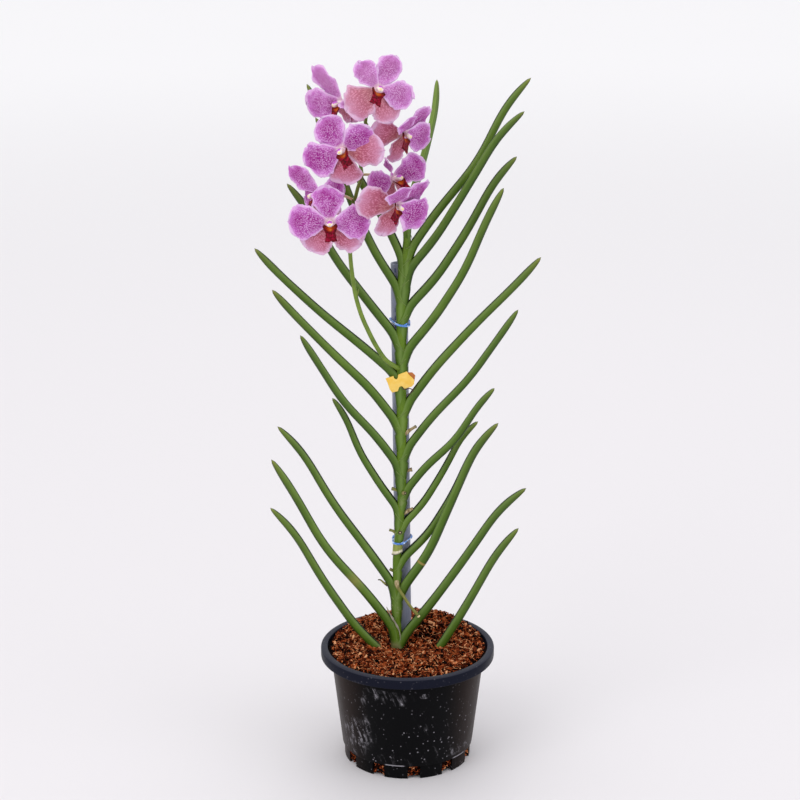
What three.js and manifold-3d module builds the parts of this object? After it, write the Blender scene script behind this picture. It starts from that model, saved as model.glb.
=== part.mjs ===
// Potted vanda orchid: a stem of overlapping leaf sheaths with two ranks of half-round leaves, one flower
// spike with eight blooms, a plastic stake with two wire ties and a yellow clip, in a black nursery pot.
// Millimetres, +Z up. The front is -Y, +X is to the right seen from the front. Z = 0 is the surface that
// the pot stands on. The pot's axis is the working origin, and the last lines centre the whole width.
import * as THREE from 'three';
import { mergeVertices } from 'three/addons/utils/BufferGeometryUtils.js';
import Module from 'manifold-3d';

const wasm = await Module();
wasm.setup();

// Clearances and the move that centres the whole plant on the origin
const GAP = 0.35;
const SIDE_SHIFT = 9.5;

// Pot
const RIM_RADIUS = 89;
const RIM_INNER = 82;
const RIM_HEIGHT = 10.5;
const POT_HEIGHT = 120;
const WALL_TOP_RADIUS = 78.3;
const WALL_TOP = 107;
const WALL_FOOT_RADIUS = 67.3;
const WALL = 1.8;
const FOOT_HEIGHT = 14;
const FOOT_RADIUS = 65.3;
const FOOT_COUNT = 11;
const FIRST_DRAIN = 5.7;
const DRAIN_WIDTH = 13.2;
const FLOOR = 3;
const FLOOR_TOP = 5;
const POT_SIDES = 32;
const RIM_SKIRT = 2.2;
const RIM_TOP = 2.2;
const FOOT_WALL = 2.4;

// Medium: level near the front, heaped at the back, hollowed a little round the stem
const MEDIUM_LEVEL = 118;
const HEAP = { height: 12, x: 2, y: 52, wide: 56, deep: 28 };
const DIMPLE = { depth: 2.5, x: -10, y: -2, wide: 18 };
const CHIP_RELIEF = 3.4;
const MEDIUM_RINGS = 8;

// Stem: its axis as height and sideways place, and its half width by height
const STEM_AXIS = [[56, -8], [115, -10.4], [213, -11.2], [275, -6], [460, -6.4], [546, -1]];
const STEM_HALF = [[56, 4.4], [115, 4.4], [200, 4], [268, 4], [300, 5], [500, 4.8], [530, 4], [546, 2.4]];
const STEM_SIDES = 8;
const STEM_DEEPER = 0.6;
const SHEATH = { push: 1.6, grow: 0.9, below: 3, above: 2.5 };
const ROOTS = { turns: [-35, -95, -155, 170], thick: 2.3, reach: 42, from: 68, drop: 34 };

// Stake behind the stem: it leans a little to the left as it rises
const STAKE = { radius: 8.3, wall: 1.5, foot: 24, top: 518, footX: -3, topX: -8.7, y: 14.4, sides: 18 };

// Leaves. height is where the blade leaves the stem, long its length, bends its angle above the
// horizontal at the stations below, lean the turn of its plane towards the back, wide a width factor.
const BEND_STATIONS = [0, 0.15, 0.4, 0.7, 1];
const RIGHT_LEAVES = [
  { height: 541, long: 170, bends: [87, 68, 49, 57, 88], lean: 66, wide: 0.9 },
  { height: 522, long: 215, bends: [67, 55, 50, 64, 46], lean: 5, wide: 0.95 },
  { height: 500, long: 207, bends: [72, 51, 59, 60, 42], lean: -7, wide: 0.95 },
  { height: 465, long: 195, bends: [60, 47, 57, 62, 46], lean: 4, wide: 1 },
  { height: 421, long: 202, bends: [65, 51, 58, 68, 62], lean: -4, wide: 1 },
  { height: 368, long: 209, bends: [59, 54, 48, 45, 49], lean: 2, wide: 1 },
  { height: 322, long: 192, bends: [59, 54, 47, 56, 57], lean: -3, wide: 0.92 },
  { height: 280, long: 150, bends: [58, 53, 44, 59, 48], lean: -7, wide: 0.9 },
  { height: 244, long: 139, bends: [55, 47, 59, 63, 41], lean: 7, wide: 0.85 },
  { height: 170, long: 219, bends: [63, 56, 68, 68, 48], lean: -8, wide: 1.05 },
  { height: 205, long: 167, bends: [53, 43, 58, 66, 55], lean: 9, wide: 0.95 },
  { height: 118, long: 219, bends: [58, 53, 56, 58, 39], lean: -5, wide: 1.05 },
  { height: 65, long: 221, bends: [47, 52, 60, 63, 50], lean: -3, wide: 1.05 },
];
const LEFT_LEAVES = [
  { height: 510, long: 207, bends: [82, 64, 57, 59, 62], lean: 16, wide: 0.92 },
  { height: 483, long: 198, bends: [69, 57, 65, 71, 60], lean: 6, wide: 0.95 },
  { height: 436, long: 197, bends: [63, 52, 53, 62, 50], lean: 2, wide: 1 },
  { height: 397, long: 199, bends: [60, 41, 39, 43, 48], lean: 4, wide: 1 },
  { height: 351, long: 193, bends: [57, 54, 45, 47, 50], lean: -4, wide: 1 },
  { height: 303, long: 179, bends: [70, 55, 48, 59, 59], lean: -5, wide: 0.95 },
  { height: 258, long: 142, bends: [74, 54, 58, 69, 54], lean: 7, wide: 0.88 },
  { height: 168, long: 221, bends: [78, 56, 54, 61, 45], lean: 4, wide: 1 },
  { height: 119, long: 242, bends: [81, 55, 50, 63, 58], lean: -5, wide: 1.05 },
  { height: 96, long: 218, bends: [42, 46, 57, 62, 46], lean: -2, wide: 1 },
];
const named = (rows, side, word) =>
  rows.map((row, i) => ({ ...row, side, name: `leaf_${word}_${String(i + 1).padStart(2, '0')}` }));
const LEAVES = [...named(RIGHT_LEAVES, 1, 'right'), ...named(LEFT_LEAVES, -1, 'left')];
// A younger blade makes room for the older ones that clasp its foot
const CLASPED = {
  leaf_right_01: ['leaf_right_02', 'leaf_left_01'],
  leaf_right_02: ['leaf_left_01'],
};
const BLADE = { half: 5.1, across: 4.4, thin: 0.24, tipFrom: 0.86, tipEnd: 1.02, groove: 0.62 };
const BLADE_STATIONS = [0, 0.05, 0.13, 0.26, 0.42, 0.58, 0.74, 0.87, 0.96, 1];
const PATH_STEPS = 48;

// Stubs of old flower stalks and roots on the stem: from, to, radius
const STUBS = [
  { from: [-4, -1, 346], to: [8, -7.6, 357], radius: 1.9 },
  { from: [-4, 0, 306], to: [4.4, 0, 309.5], radius: 2.2 },
  { from: [-9, 0, 286], to: [-16, -1, 289.5], radius: 1.8 },
  { from: [-5.8, -2, 284], to: [-2.5, -8, 287], radius: 1.9 },
  { from: [-4, 0, 262], to: [5.4, -1, 268.5], radius: 1.9 },
  { from: [-10, 0, 241], to: [-18.5, 0, 245], radius: 1.8 },
  { from: [-7.6, -2, 242], to: [-7.6, -7, 244.6], radius: 2 },
  { from: [-11, 0, 197], to: [-18, 0, 202.6], radius: 1.6 },
];

// Old cut flower stalk that lies across the lowest right leaf
const CUT_STALK = [
  [-11, -2, 191], [-10.5, -7, 187], [-4, -9.5, 176.5], [3.5, -10.2, 165], [11.7, -10.2, 154.4],
];
const CUT_STALK_RADIUS = 1.8;

// Flower spike: it leaves the stem at a leaf axil and rises in front of the left leaves
const SPIKE = [
  [-8, -2, 414], [-13.5, -7.5, 419.5], [-21.5, -10, 426], [-30.5, -12.5, 440], [-38.3, -14, 456],
  [-45.2, -16, 473], [-50.5, -17, 492], [-53, -18, 508], [-55.2, -18, 528], [-55.8, -18, 545],
  [-54.7, -18, 558], [-51.6, -18, 582], [-48, -19, 598], [-44, -20, 611], [-45.4, -20, 624],
  [-42.7, -20, 638], [-39.2, -20, 650], [-40, -22, 662], [-38, -25, 674],
];
const SPIKE_RADIUS = { foot: 2.4, top: 1.5 };
const SPIKE_SIDES = 6;
const BRACT = { radius: 2.6, long: 7, sink: 2, lowest: 497 };

// Blooms. hub is the middle, turn the side it faces (0 is the front, + is right), lift how far it faces
// up, roll its turn about its own axis, joint the height on the spike where its pedicel starts
const BLOOMS = [
  { hub: [-28, -66, 699], turn: 14, lift: 4, roll: -28, joint: 673 },
  { hub: [-62, -20, 680], turn: -54, lift: -12, roll: 8, joint: 661 },
  { hub: [-61, -64, 643], turn: -12, lift: -8, roll: 40, joint: 624 },
  { hub: [-5, -32, 653], turn: 42, lift: -14, roll: -42, joint: 640 },
  { hub: [-14, -12, 606], turn: 50, lift: 10, roll: 10, joint: 611 },
  { hub: [-11, -58, 590], turn: 30, lift: -14, roll: -50, joint: 582 },
  { hub: [-73, -62, 574], turn: 0, lift: -3, roll: 5, joint: 556 },
  { hub: [-85, -24, 592], turn: -60, lift: 0, roll: 40, joint: 586 },
];
// The five tepals of each bloom: the top one, the right, the left, the lower right and the lower left, as
// [angle round the hub, reach, full width, lean towards the front, twist about its own length]
const TEPALS = [
  [[86, 34, 23, 0, 0], [11, 34, 25, 0, 0], [153, 30, 21, 0, 0],
    [-37, 34, 26, 0, 0], [-117, 34, 32, 0, 0]],
  [[112, 42, 22, 20, 10], [-15, 34, 24, 10, 60], [175, 40, 29, 24, 0],
    [-62, 21, 19, 0, 0], [-110, 22, 19, 0, 0]],
  [[88, 34, 29, 0, 0], [-8, 33, 26, 0, 24], [165, 39, 32, 0, 0],
    [-42, 38, 30, 0, 0], [-128, 35, 30, 0, 0]],
  [[68, 39, 23, 0, 14], [28, 38, 28, 0, 0], [160, 28, 24, 35, 0],
    [-52, 31, 20, 0, 0], [-140, 38, 27, 0, 0]],
  [[84, 21, 15, 0, 60], [15, 34, 27, 35, 0], [174, 36, 23, 0, 0],
    [-36, 27, 22, 0, 0], [-128, 24, 20, 0, 0]],
  [[72, 38, 26, 0, 26], [20, 39, 33, 0, 0], [160, 30, 26, 35, 0],
    [-54, 34, 24, 0, 0], [-138, 41, 30, 0, 0]],
  [[90, 33, 28, 0, 0], [-4, 37, 31, 0, 0], [174, 39, 32, 0, 0],
    [-42, 36, 31, 0, 0], [-132, 34, 31, 0, 0]],
  [[95, 41, 17, 25, 50], [-16, 26, 27, -45, 0], [150, 31, 26, 0, 0],
    [-80, 25, 22, -20, 0], [-136, 25, 23, 0, 0]],
];
const TEPAL_STANDS = [-1.7, 1.7, 1.7, -1.7, -1.7];
const TEPAL_THICK = 0.8;
const TEPAL_CLAW = 1.9;
const TEPAL_WAVE = 1.1;
const TEPAL_REFLEX = -3;
const TEPAL_BOW = 1.2;
const TEPAL_START = 1.6;
const TEPAL_ROUND_END = 1.8;
const TEPAL_OPENS = -0.12;
const TEPAL_TURNED = 0.35;
const TEPAL_WIDEST = 0.58;
const TEPAL_ROWS = [0, 0.16, 0.42, 0.74, 1];
const TEPAL_ACROSS = [-1, -0.4, 0.4, 1];
const LIP_ACROSS = [-1, -0.5, 0, 0.5, 1];
const HUB = { radius: 3.7, squash: 0.85 };
const PEDICEL = { flower: 1.9, spike: 1.2, straight: 13, arch: 2 };

// Lip: a trough with two upright side lobes that runs out into a two-lobed tongue
const LIP_THICK = 0.8;
const LIP_ROWS = [
  { up: -3.9, out: 4.2, half: 5.2, lift: 6 },
  { up: -5.6, out: 8, half: 5.8, lift: 4.6 },
  { up: -8.4, out: 11.5, half: 4.3, lift: 1.2 },
  { up: -11.8, out: 15, half: 5.6, lift: -0.8 },
  { up: -15.4, out: 18.5, half: 6.2, lift: -0.6 },
];
const LIP_NOTCH = 2.6;
const COLUMN = [[2.71, 2.5], [7, 3], [10, 3], [11.6, 1.6]];
const COLUMN_RAISED = 0.4;

// Ties, clip and its loop
const TIES = [
  { name: 'tie_upper', height: 459, slope: -0.36 },
  { name: 'tie_lower', height: 232, slope: 0.05 },
];
const TIE_WIRE = 0.75;
const TIE_SPACE = 1.35;
const CLIP_THICK = 1.5;
const CLIP_BACK = -6;
const CLIP_OUTLINE = [
  [-21.7, 407.1], [-15.2, 408.6], [-13.9, 406.4], [-11.4, 405.6], [-9.9, 407.4], [-9.5, 410.8], [-1.3, 413.8],
  [1.2, 410.8], [3.6, 408.4], [6.5, 404.5], [6.1, 400.3], [4.4, 398.6], [-3.8, 395], [-5.2, 397.2],
  [-7.6, 397.6], [-9.3, 396], [-10.1, 393.6], [-15.6, 392], [-17.6, 395.2], [-19.8, 400.8],
];
const JAW = { low: [-0.4, 402.5], high: [7.4, 412], thick: 1.4 };
const CLIP_LOOP = [
  [-5, 397], [-3, 395.4], [1.2, 396.4], [5, 394.4], [2.6, 391.4], [-0.8, 389.6], [-1.4, 387.6],
];
const LOOP_WIRE = 0.5;

const up = new THREE.Vector3(0, 0, 1);
const radians = THREE.MathUtils.degToRad;

const FINISH = {
  pot: { color: 0x17181b, roughness: 0.48, metalness: 0 },
  medium: { color: 0x6b3420, roughness: 0.95, metalness: 0 },
  stem: { color: 0x6d8c3a, roughness: 0.5, metalness: 0 },
  leaf: { color: 0x55803a, roughness: 0.42, metalness: 0 },
  spike: { color: 0x7c8f2e, roughness: 0.5, metalness: 0 },
  dry: { color: 0x9a8f66, roughness: 0.8, metalness: 0 },
  tepal: { color: 0xcf6fcf, roughness: 0.55, metalness: 0 },
  lip: { color: 0x8a0f2a, roughness: 0.5, metalness: 0 },
  column: { color: 0xf3e3d2, roughness: 0.5, metalness: 0 },
  stake: { color: 0x7d8299, roughness: 0.55, metalness: 0 },
  tie: { color: 0x2f62b0, roughness: 0.4, metalness: 0 },
  clip: { color: 0xf0c23c, roughness: 0.4, metalness: 0 },
  jaw: { color: 0xb0701c, roughness: 0.4, metalness: 0 },
  loop: { color: 0x3b2418, roughness: 0.7, metalness: 0 },
};

// A number between 0 and 1 that depends only on the two whole numbers given
function hash(a, b) {
  const raw = Math.sin(a * 127.1 + b * 311.7 + 17.3) * 43758.5453;
  return raw - Math.floor(raw);
}

// Reads a list of [position, value] pairs, straight between them
function readAlong(pairs, at) {
  if (at <= pairs[0][0]) return pairs[0][1];
  for (let i = 1; i < pairs.length; i += 1) {
    const [start, from] = pairs[i - 1];
    const [end, to] = pairs[i];
    if (at <= end) return from + ((to - from) * (at - start)) / (end - start);
  }
  return pairs[pairs.length - 1][1];
}

function geometryOf(points, triangles) {
  const geometry = new THREE.BufferGeometry();
  geometry.setFromPoints(points);
  geometry.setIndex(triangles);
  return geometry;
}

// Turns a closed mesh into a solid: shared corners merged, faces without area left out
function toSolid(geometry) {
  const bare = geometry.clone();
  bare.deleteAttribute('normal');
  bare.deleteAttribute('uv');
  const merged = mergeVertices(bare, 1e-4);
  const index = merged.index.array;
  const triVerts = [];
  for (let i = 0; i < index.length; i += 3) {
    const [a, b, c] = [index[i], index[i + 1], index[i + 2]];
    if (a !== b && b !== c && c !== a) triVerts.push(a, b, c);
  }
  const vertProperties = Float32Array.from(merged.attributes.position.array);
  const mesh = new wasm.Mesh({ numProp: 3, vertProperties, triVerts: Uint32Array.from(triVerts) });
  return new wasm.Manifold(mesh);
}

function toGeometry(solid) {
  const mesh = solid.getMesh();
  const geometry = new THREE.BufferGeometry();
  geometry.setAttribute('position', new THREE.BufferAttribute(mesh.vertProperties, 3));
  geometry.setIndex(new THREE.BufferAttribute(mesh.triVerts, 1));
  geometry.computeVertexNormals();
  return geometry;
}

// The largest of the separate bodies that a cut leaves
function largest(solid) {
  const bodies = solid.decompose();
  return bodies.reduce((best, body) => (body.volume() > best.volume() ? body : best));
}

// Closed skin over a row of rings with the same number of corners, with a middle point in each end
function loft(rings) {
  const count = rings[0].length;
  const points = rings.flat();
  const triangles = [];
  for (let i = 0; i + 1 < rings.length; i += 1) {
    for (let j = 0; j < count; j += 1) {
      const a = i * count + j;
      const b = i * count + ((j + 1) % count);
      triangles.push(a, b, b + count, a, b + count, a + count);
    }
  }
  for (const [row, first] of [[rings[0], true], [rings[rings.length - 1], false]]) {
    const middle = points.length;
    const base = first ? 0 : (rings.length - 1) * count;
    points.push(row.reduce((sum, p) => sum.add(p), new THREE.Vector3()).divideScalar(count));
    for (let j = 0; j < count; j += 1) {
      const a = base + j;
      const b = base + ((j + 1) % count);
      if (first) triangles.push(middle, b, a);
      else triangles.push(middle, a, b);
    }
  }
  return geometryOf(points, triangles);
}

// Round or oval ring about a centre, in the plane of two directions
function ring(centre, first, second, halfFirst, halfSecond, sides) {
  return Array.from({ length: sides }, (_, i) => {
    const angle = (2 * Math.PI * i) / sides;
    return centre
      .clone()
      .addScaledVector(first, halfFirst * Math.cos(angle))
      .addScaledVector(second, halfSecond * Math.sin(angle));
  });
}

// Tapered tube along a smooth curve through the points; grow widens it and lengthens both ends
function tube(places, radiusAt, sides, steps, grow = 0) {
  const curve = new THREE.CatmullRomCurve3(places.map((p) => new THREE.Vector3(...p)), false, 'centripetal');
  const frames = curve.computeFrenetFrames(steps, false);
  const rings = [];
  for (let i = 0; i <= steps; i += 1) {
    const centre = curve.getPointAt(i / steps);
    if (i === 0) centre.addScaledVector(frames.tangents[0], -grow);
    if (i === steps) centre.addScaledVector(frames.tangents[steps], grow);
    const radius = radiusAt(i / steps) + grow;
    rings.push(ring(centre, frames.normals[i], frames.binormals[i], radius, radius, sides));
  }
  return loft(rings);
}

// Closed sheet of even thickness over a grid of points; both faces are split into triangles alike
function sheet(rows, thick) {
  const along = rows.length;
  const across = rows[0].length;
  const at = (i, j) => rows[Math.min(Math.max(i, 0), along - 1)][Math.min(Math.max(j, 0), across - 1)];
  const front = [];
  const back = [];
  for (let i = 0; i < along; i += 1) {
    for (let j = 0; j < across; j += 1) {
      const alongWay = at(i + 1, j).clone().sub(at(i - 1, j));
      const acrossWay = at(i, j + 1).clone().sub(at(i, j - 1));
      const normal = alongWay.cross(acrossWay).normalize();
      front.push(at(i, j).clone().addScaledVector(normal, thick / 2));
      back.push(at(i, j).clone().addScaledVector(normal, -thick / 2));
    }
  }
  const size = along * across;
  const triangles = [];
  for (let i = 0; i + 1 < along; i += 1) {
    for (let j = 0; j + 1 < across; j += 1) {
      const a = i * across + j;
      const b = a + across;
      triangles.push(a, b, b + 1, a, b + 1, a + 1);
      triangles.push(size + a, size + b + 1, size + b, size + a, size + a + 1, size + b + 1);
    }
  }
  const edge = [];
  for (let i = 0; i + 1 < along; i += 1) edge.push(i * across);
  for (let j = 0; j + 1 < across; j += 1) edge.push((along - 1) * across + j);
  for (let i = along - 1; i > 0; i -= 1) edge.push(i * across + across - 1);
  for (let j = across - 1; j > 0; j -= 1) edge.push(j);
  edge.forEach((p, k) => {
    const q = edge[(k + 1) % edge.length];
    triangles.push(p, size + p, size + q, p, size + q, q);
  });
  return geometryOf([...front, ...back], triangles);
}

// Pot: one turned wall with a hollow turned-over rim, and drain gaps cut between the feet
function potSolid() {
  const rimLow = POT_HEIGHT - RIM_HEIGHT;
  const profile = [
    [0, FLOOR], [FOOT_RADIUS - FOOT_WALL - 0.4, FLOOR], [FOOT_RADIUS - FOOT_WALL, 0], [FOOT_RADIUS, 0],
    [FOOT_RADIUS + 0.4, FOOT_HEIGHT], [WALL_FOOT_RADIUS, FOOT_HEIGHT + 0.6], [WALL_TOP_RADIUS, WALL_TOP],
    [RIM_INNER + 1.7, WALL_TOP + 3.5], [RIM_INNER + 1.9, POT_HEIGHT - RIM_TOP],
    [RIM_RADIUS - RIM_SKIRT, POT_HEIGHT - RIM_TOP], [RIM_RADIUS - RIM_SKIRT, rimLow],
    [RIM_RADIUS - 0.3, rimLow], [RIM_RADIUS, rimLow + 1],
    [RIM_RADIUS, POT_HEIGHT - 1.6], [RIM_RADIUS - 1.2, POT_HEIGHT],
    [RIM_INNER + 1.4, POT_HEIGHT], [RIM_INNER, POT_HEIGHT - 1], [RIM_INNER - 0.2, WALL_TOP + 4.5],
    [WALL_TOP_RADIUS - WALL, WALL_TOP + 0.5], [WALL_FOOT_RADIUS - WALL, FOOT_HEIGHT + 1.6],
    [FOOT_RADIUS - 1.6, FOOT_HEIGHT], [FOOT_RADIUS - 2, FLOOR_TOP], [0, FLOOR_TOP],
  ];
  const lathe = new THREE.LatheGeometry(profile.map(([x, y]) => new THREE.Vector2(x, y)), POT_SIDES);
  lathe.rotateX(Math.PI / 2);
  let pot = toSolid(lathe);
  const inner = FOOT_RADIUS - 3;
  const reach = 9;
  for (let i = 0; i < FOOT_COUNT; i += 1) {
    const angle = radians(FIRST_DRAIN + (360 * i) / FOOT_COUNT);
    const box = new THREE.BoxGeometry(DRAIN_WIDTH, reach, FOOT_HEIGHT + 0.9);
    box.translate(0, -inner - reach / 2, FOOT_HEIGHT / 2 - 0.55);
    box.rotateZ(angle);
    pot = pot.subtract(toSolid(box));
  }
  return pot;
}

function mediumHeight(x, y) {
  const heap = Math.exp(-(((x - HEAP.x) / HEAP.wide) ** 2) - ((y - HEAP.y) / HEAP.deep) ** 2);
  const dimple = Math.exp(-((x - DIMPLE.x) ** 2 + (y - DIMPLE.y) ** 2) / DIMPLE.wide ** 2);
  return MEDIUM_LEVEL + HEAP.height * heap - DIMPLE.depth * dimple;
}

// Medium: fills the pot with a small gap to its wall; the top is raised chip by chip
function mediumSolid(holes) {
  const side = [
    [FOOT_RADIUS - FOOT_WALL, FLOOR_TOP + GAP], [FOOT_RADIUS - FOOT_WALL, FOOT_HEIGHT + 0.5],
    [WALL_FOOT_RADIUS - WALL - 0.5, FOOT_HEIGHT + 2.2], [WALL_TOP_RADIUS - WALL - 0.45, WALL_TOP + 0.8],
    [RIM_INNER - 0.7, WALL_TOP + 5],
  ];
  const edge = RIM_INNER - 0.7;
  // The turned pot has its corners on the front line, so the medium's corners stand there too
  const ringAt = (radius, heightAt) =>
    Array.from({ length: POT_SIDES }, (_, j) => {
      const angle = (2 * Math.PI * j) / POT_SIDES;
      const x = radius * Math.cos(angle);
      const y = radius * Math.sin(angle);
      return new THREE.Vector3(x, y, heightAt(x, y, j));
    });
  const rings = side.map(([radius, z]) => ringAt(radius, () => z));
  for (let k = MEDIUM_RINGS; k > 0; k -= 1) {
    const radius = (edge * k) / MEDIUM_RINGS;
    const calm = k === MEDIUM_RINGS ? 0.4 : 1;
    rings.push(ringAt(radius, (x, y, j) => mediumHeight(x, y) + CHIP_RELIEF * calm * (hash(k, j) - 0.5)));
  }
  let medium = toSolid(loft(rings));
  for (const hole of holes) medium = medium.subtract(hole);
  return largest(medium);
}

const stemX = (height) => readAlong(STEM_AXIS, height);

// Stem: level rings that swell to the side of each leaf just below its blade, and step back above it
function stemRings(grow) {
  const marks = [{ height: STEM_AXIS[0][0] }, { height: 90 }, { height: 114 }];
  const onStem = LEAVES.filter((leaf) => leaf.height > MEDIUM_LEVEL).sort((a, b) => a.height - b.height);
  for (const leaf of onStem) {
    marks.push({ height: leaf.height - SHEATH.below, push: leaf.side * SHEATH.push, swell: SHEATH.grow });
    marks.push({ height: leaf.height + SHEATH.above });
  }
  marks.push({ height: STEM_AXIS[STEM_AXIS.length - 1][0] });
  const kept = marks.filter((mark, i) => i === 0 || mark.height - marks[i - 1].height >= 2);
  return kept.map((mark, i) => {
    const end = i === 0 ? -grow : i === kept.length - 1 ? grow : 0;
    const half = readAlong(STEM_HALF, mark.height) + (mark.swell ?? 0) + grow;
    const deep = readAlong(STEM_HALF, mark.height) + STEM_DEEPER + grow;
    const centre = new THREE.Vector3(stemX(mark.height) + (mark.push ?? 0), 0, mark.height + end);
    return ring(centre, new THREE.Vector3(1, 0, 0), new THREE.Vector3(0, 1, 0), half, deep, STEM_SIDES);
  });
}

function rootPlaces(turn, index) {
  const angle = radians(turn);
  const start = ROOTS.from + (index % 2) * 3;
  return [0, 0.3, 0.65, 1].map((s) => [
    stemX(start) + ROOTS.reach * s * Math.cos(angle + 0.3 * s),
    ROOTS.reach * s * Math.sin(angle + 0.3 * s),
    start - ROOTS.drop * s ** 1.4,
  ]);
}

// Stem with its buried roots and the stubs on it; grow gives the room that its neighbours leave
function stemSolid(grow = 0) {
  let stem = toSolid(loft(stemRings(grow)));
  ROOTS.turns.forEach((turn, index) => {
    const root = tube(rootPlaces(turn, index), (s) => ROOTS.thick * (1 - 0.4 * s), 4, 3, grow);
    stem = stem.add(toSolid(root));
  });
  for (const stub of STUBS) {
    const middle = stub.from.map((value, i) => (value + stub.to[i]) / 2);
    stem = stem.add(toSolid(tube([stub.from, middle, stub.to], () => stub.radius, 5, 1, grow)));
  }
  return stem;
}

function stakeSolid() {
  const inner = STAKE.radius - STAKE.wall;
  const profile = [[inner, 0], [STAKE.radius, 0], [STAKE.radius, 1], [inner, 1], [inner, 0]];
  return toSolid(placedStake(profile));
}

function placedStake(profile) {
  const tall = STAKE.top - STAKE.foot;
  const points = profile.map(([x, y]) => new THREE.Vector2(x, y * tall));
  const lathe = new THREE.LatheGeometry(points, STAKE.sides);
  lathe.rotateX(Math.PI / 2);
  lathe.rotateY(Math.atan2(STAKE.topX - STAKE.footX, tall));
  lathe.translate(STAKE.footX, STAKE.y, STAKE.foot);
  return lathe;
}

// Plain room for the stake, a little wider and longer than it
function stakeRoom() {
  const wide = STAKE.radius + GAP;
  return toSolid(placedStake([[0, -0.001], [wide, -0.001], [wide, 1.001], [0, 1.001]]));
}

const stakeX = (height) => {
  const share = (height - STAKE.foot) / (STAKE.top - STAKE.foot);
  return STAKE.footX + (STAKE.topX - STAKE.footX) * share;
};

// Angle of a leaf above the horizontal at a share of its length, smooth between the stations
function bendAt(bends, share) {
  let i = 0;
  while (i < BEND_STATIONS.length - 2 && share > BEND_STATIONS[i + 1]) i += 1;
  const t = (share - BEND_STATIONS[i]) / (BEND_STATIONS[i + 1] - BEND_STATIONS[i]);
  const eased = t * t * (3 - 2 * t);
  return radians(bends[i] + (bends[i + 1] - bends[i]) * eased);
}

// Place and angle along a leaf, found by small steps from the stem's axis
function leafPath(leaf) {
  const lean = radians(leaf.lean);
  const outward = new THREE.Vector3(leaf.side * Math.cos(lean), Math.sin(lean), 0);
  const path = [new THREE.Vector3(stemX(leaf.height), 0, leaf.height)];
  for (let i = 1; i <= PATH_STEPS; i += 1) {
    const angle = bendAt(leaf.bends, (i - 0.5) / PATH_STEPS);
    const step = leaf.long / PATH_STEPS;
    const next = path[i - 1].clone().addScaledVector(outward, Math.cos(angle) * step);
    path.push(next.addScaledVector(up, Math.sin(angle) * step));
  }
  return { path, outward };
}

// Leaf blade: a half-round section with a groove along its upper side, closing to a blunt tip
function leafSolid(leaf, grow = 0) {
  const { path, outward } = leafPath(leaf);
  const rings = BLADE_STATIONS.map((share) => {
    const at = share * PATH_STEPS;
    const low = Math.min(Math.floor(at), PATH_STEPS - 1);
    const centre = path[low].clone().lerp(path[low + 1], at - low);
    const angle = bendAt(leaf.bends, share);
    const along = outward.clone().multiplyScalar(Math.cos(angle)).addScaledVector(up, Math.sin(angle));
    const inner = outward.clone().multiplyScalar(-Math.sin(angle)).addScaledVector(up, Math.cos(angle));
    const across = along.clone().cross(inner);
    const past = Math.max(0, share - BLADE.tipFrom) / (BLADE.tipEnd - BLADE.tipFrom);
    const size = leaf.wide * (1 - BLADE.thin * share) * Math.sqrt(1 - past * past);
    const half = BLADE.half * size + grow;
    const wide = BLADE.across * size + grow;
    const groove = half - BLADE.half * size * BLADE.groove * (1 - 0.75 * share);
    if (share === 1) centre.addScaledVector(along, grow);
    const corners = [
      [groove, 0], [half, 0.5 * wide], [0.1 * half, wide], [-0.86 * half, 0.52 * wide],
      [-0.86 * half, -0.52 * wide], [0.1 * half, -wide], [half, -0.5 * wide],
    ];
    return corners.map(([a, b]) => centre.clone().addScaledVector(inner, a).addScaledVector(across, b));
  });
  return toSolid(loft(rings));
}

// Flower spike with a small bract under each joint
function spikeCurve() {
  return new THREE.CatmullRomCurve3(SPIKE.map((p) => new THREE.Vector3(...p)), false, 'centripetal');
}

function spikePlace(height) {
  const curve = spikeCurve();
  let best = curve.getPointAt(0);
  for (let i = 1; i <= 200; i += 1) {
    const place = curve.getPointAt(i / 200);
    if (Math.abs(place.z - height) < Math.abs(best.z - height)) best = place;
  }
  return best;
}

function spikeSolid(grow = 0) {
  const taper = SPIKE_RADIUS.top - SPIKE_RADIUS.foot;
  let spike = toSolid(tube(SPIKE, (s) => SPIKE_RADIUS.foot + taper * s, SPIKE_SIDES, 15, grow));
  const joints = [BRACT.lowest, ...BLOOMS.map((bloom) => bloom.joint)];
  joints.forEach((height, i) => {
    const place = spikePlace(height);
    const bract = new THREE.ConeGeometry(BRACT.radius + grow, BRACT.long + 2 * grow, 3);
    bract.rotateX(Math.PI / 2);
    bract.rotateZ(i * 2.1);
    bract.rotateY(i === 0 ? -0.5 : 0.35 * Math.sin(i * 3));
    bract.translate(place.x, place.y, place.z - BRACT.sink);
    spike = spike.add(toSolid(bract));
  });
  return spike;
}

// Local axes of a bloom: x to its right, y up, z the way it faces
function bloomFrame(bloom) {
  const [turn, lift, roll] = [bloom.turn, bloom.lift, bloom.roll].map(radians);
  const facing = new THREE.Vector3(
    Math.sin(turn) * Math.cos(lift), -Math.cos(turn) * Math.cos(lift), Math.sin(lift));
  const right = new THREE.Vector3(Math.cos(turn), Math.sin(turn), 0);
  const upward = facing.clone().cross(right);
  const rolled = right.clone().multiplyScalar(Math.cos(roll)).addScaledVector(upward, Math.sin(roll));
  const raised = facing.clone().cross(rolled);
  return new THREE.Matrix4().makeBasis(rolled, raised, facing).setPosition(...bloom.hub);
}

// Half width of a tepal at a share of its length: a narrow claw that opens to a broad round end
function tepalHalf(width, share) {
  const opened = THREE.MathUtils.smoothstep(share, TEPAL_OPENS, TEPAL_WIDEST);
  const past = Math.max(0, share - TEPAL_WIDEST) / (1.04 - TEPAL_WIDEST);
  const round = (1 - past ** 2.6) ** (1 / 2.2);
  return TEPAL_CLAW + (width / 2 - TEPAL_CLAW) * opened * round;
}

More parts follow.
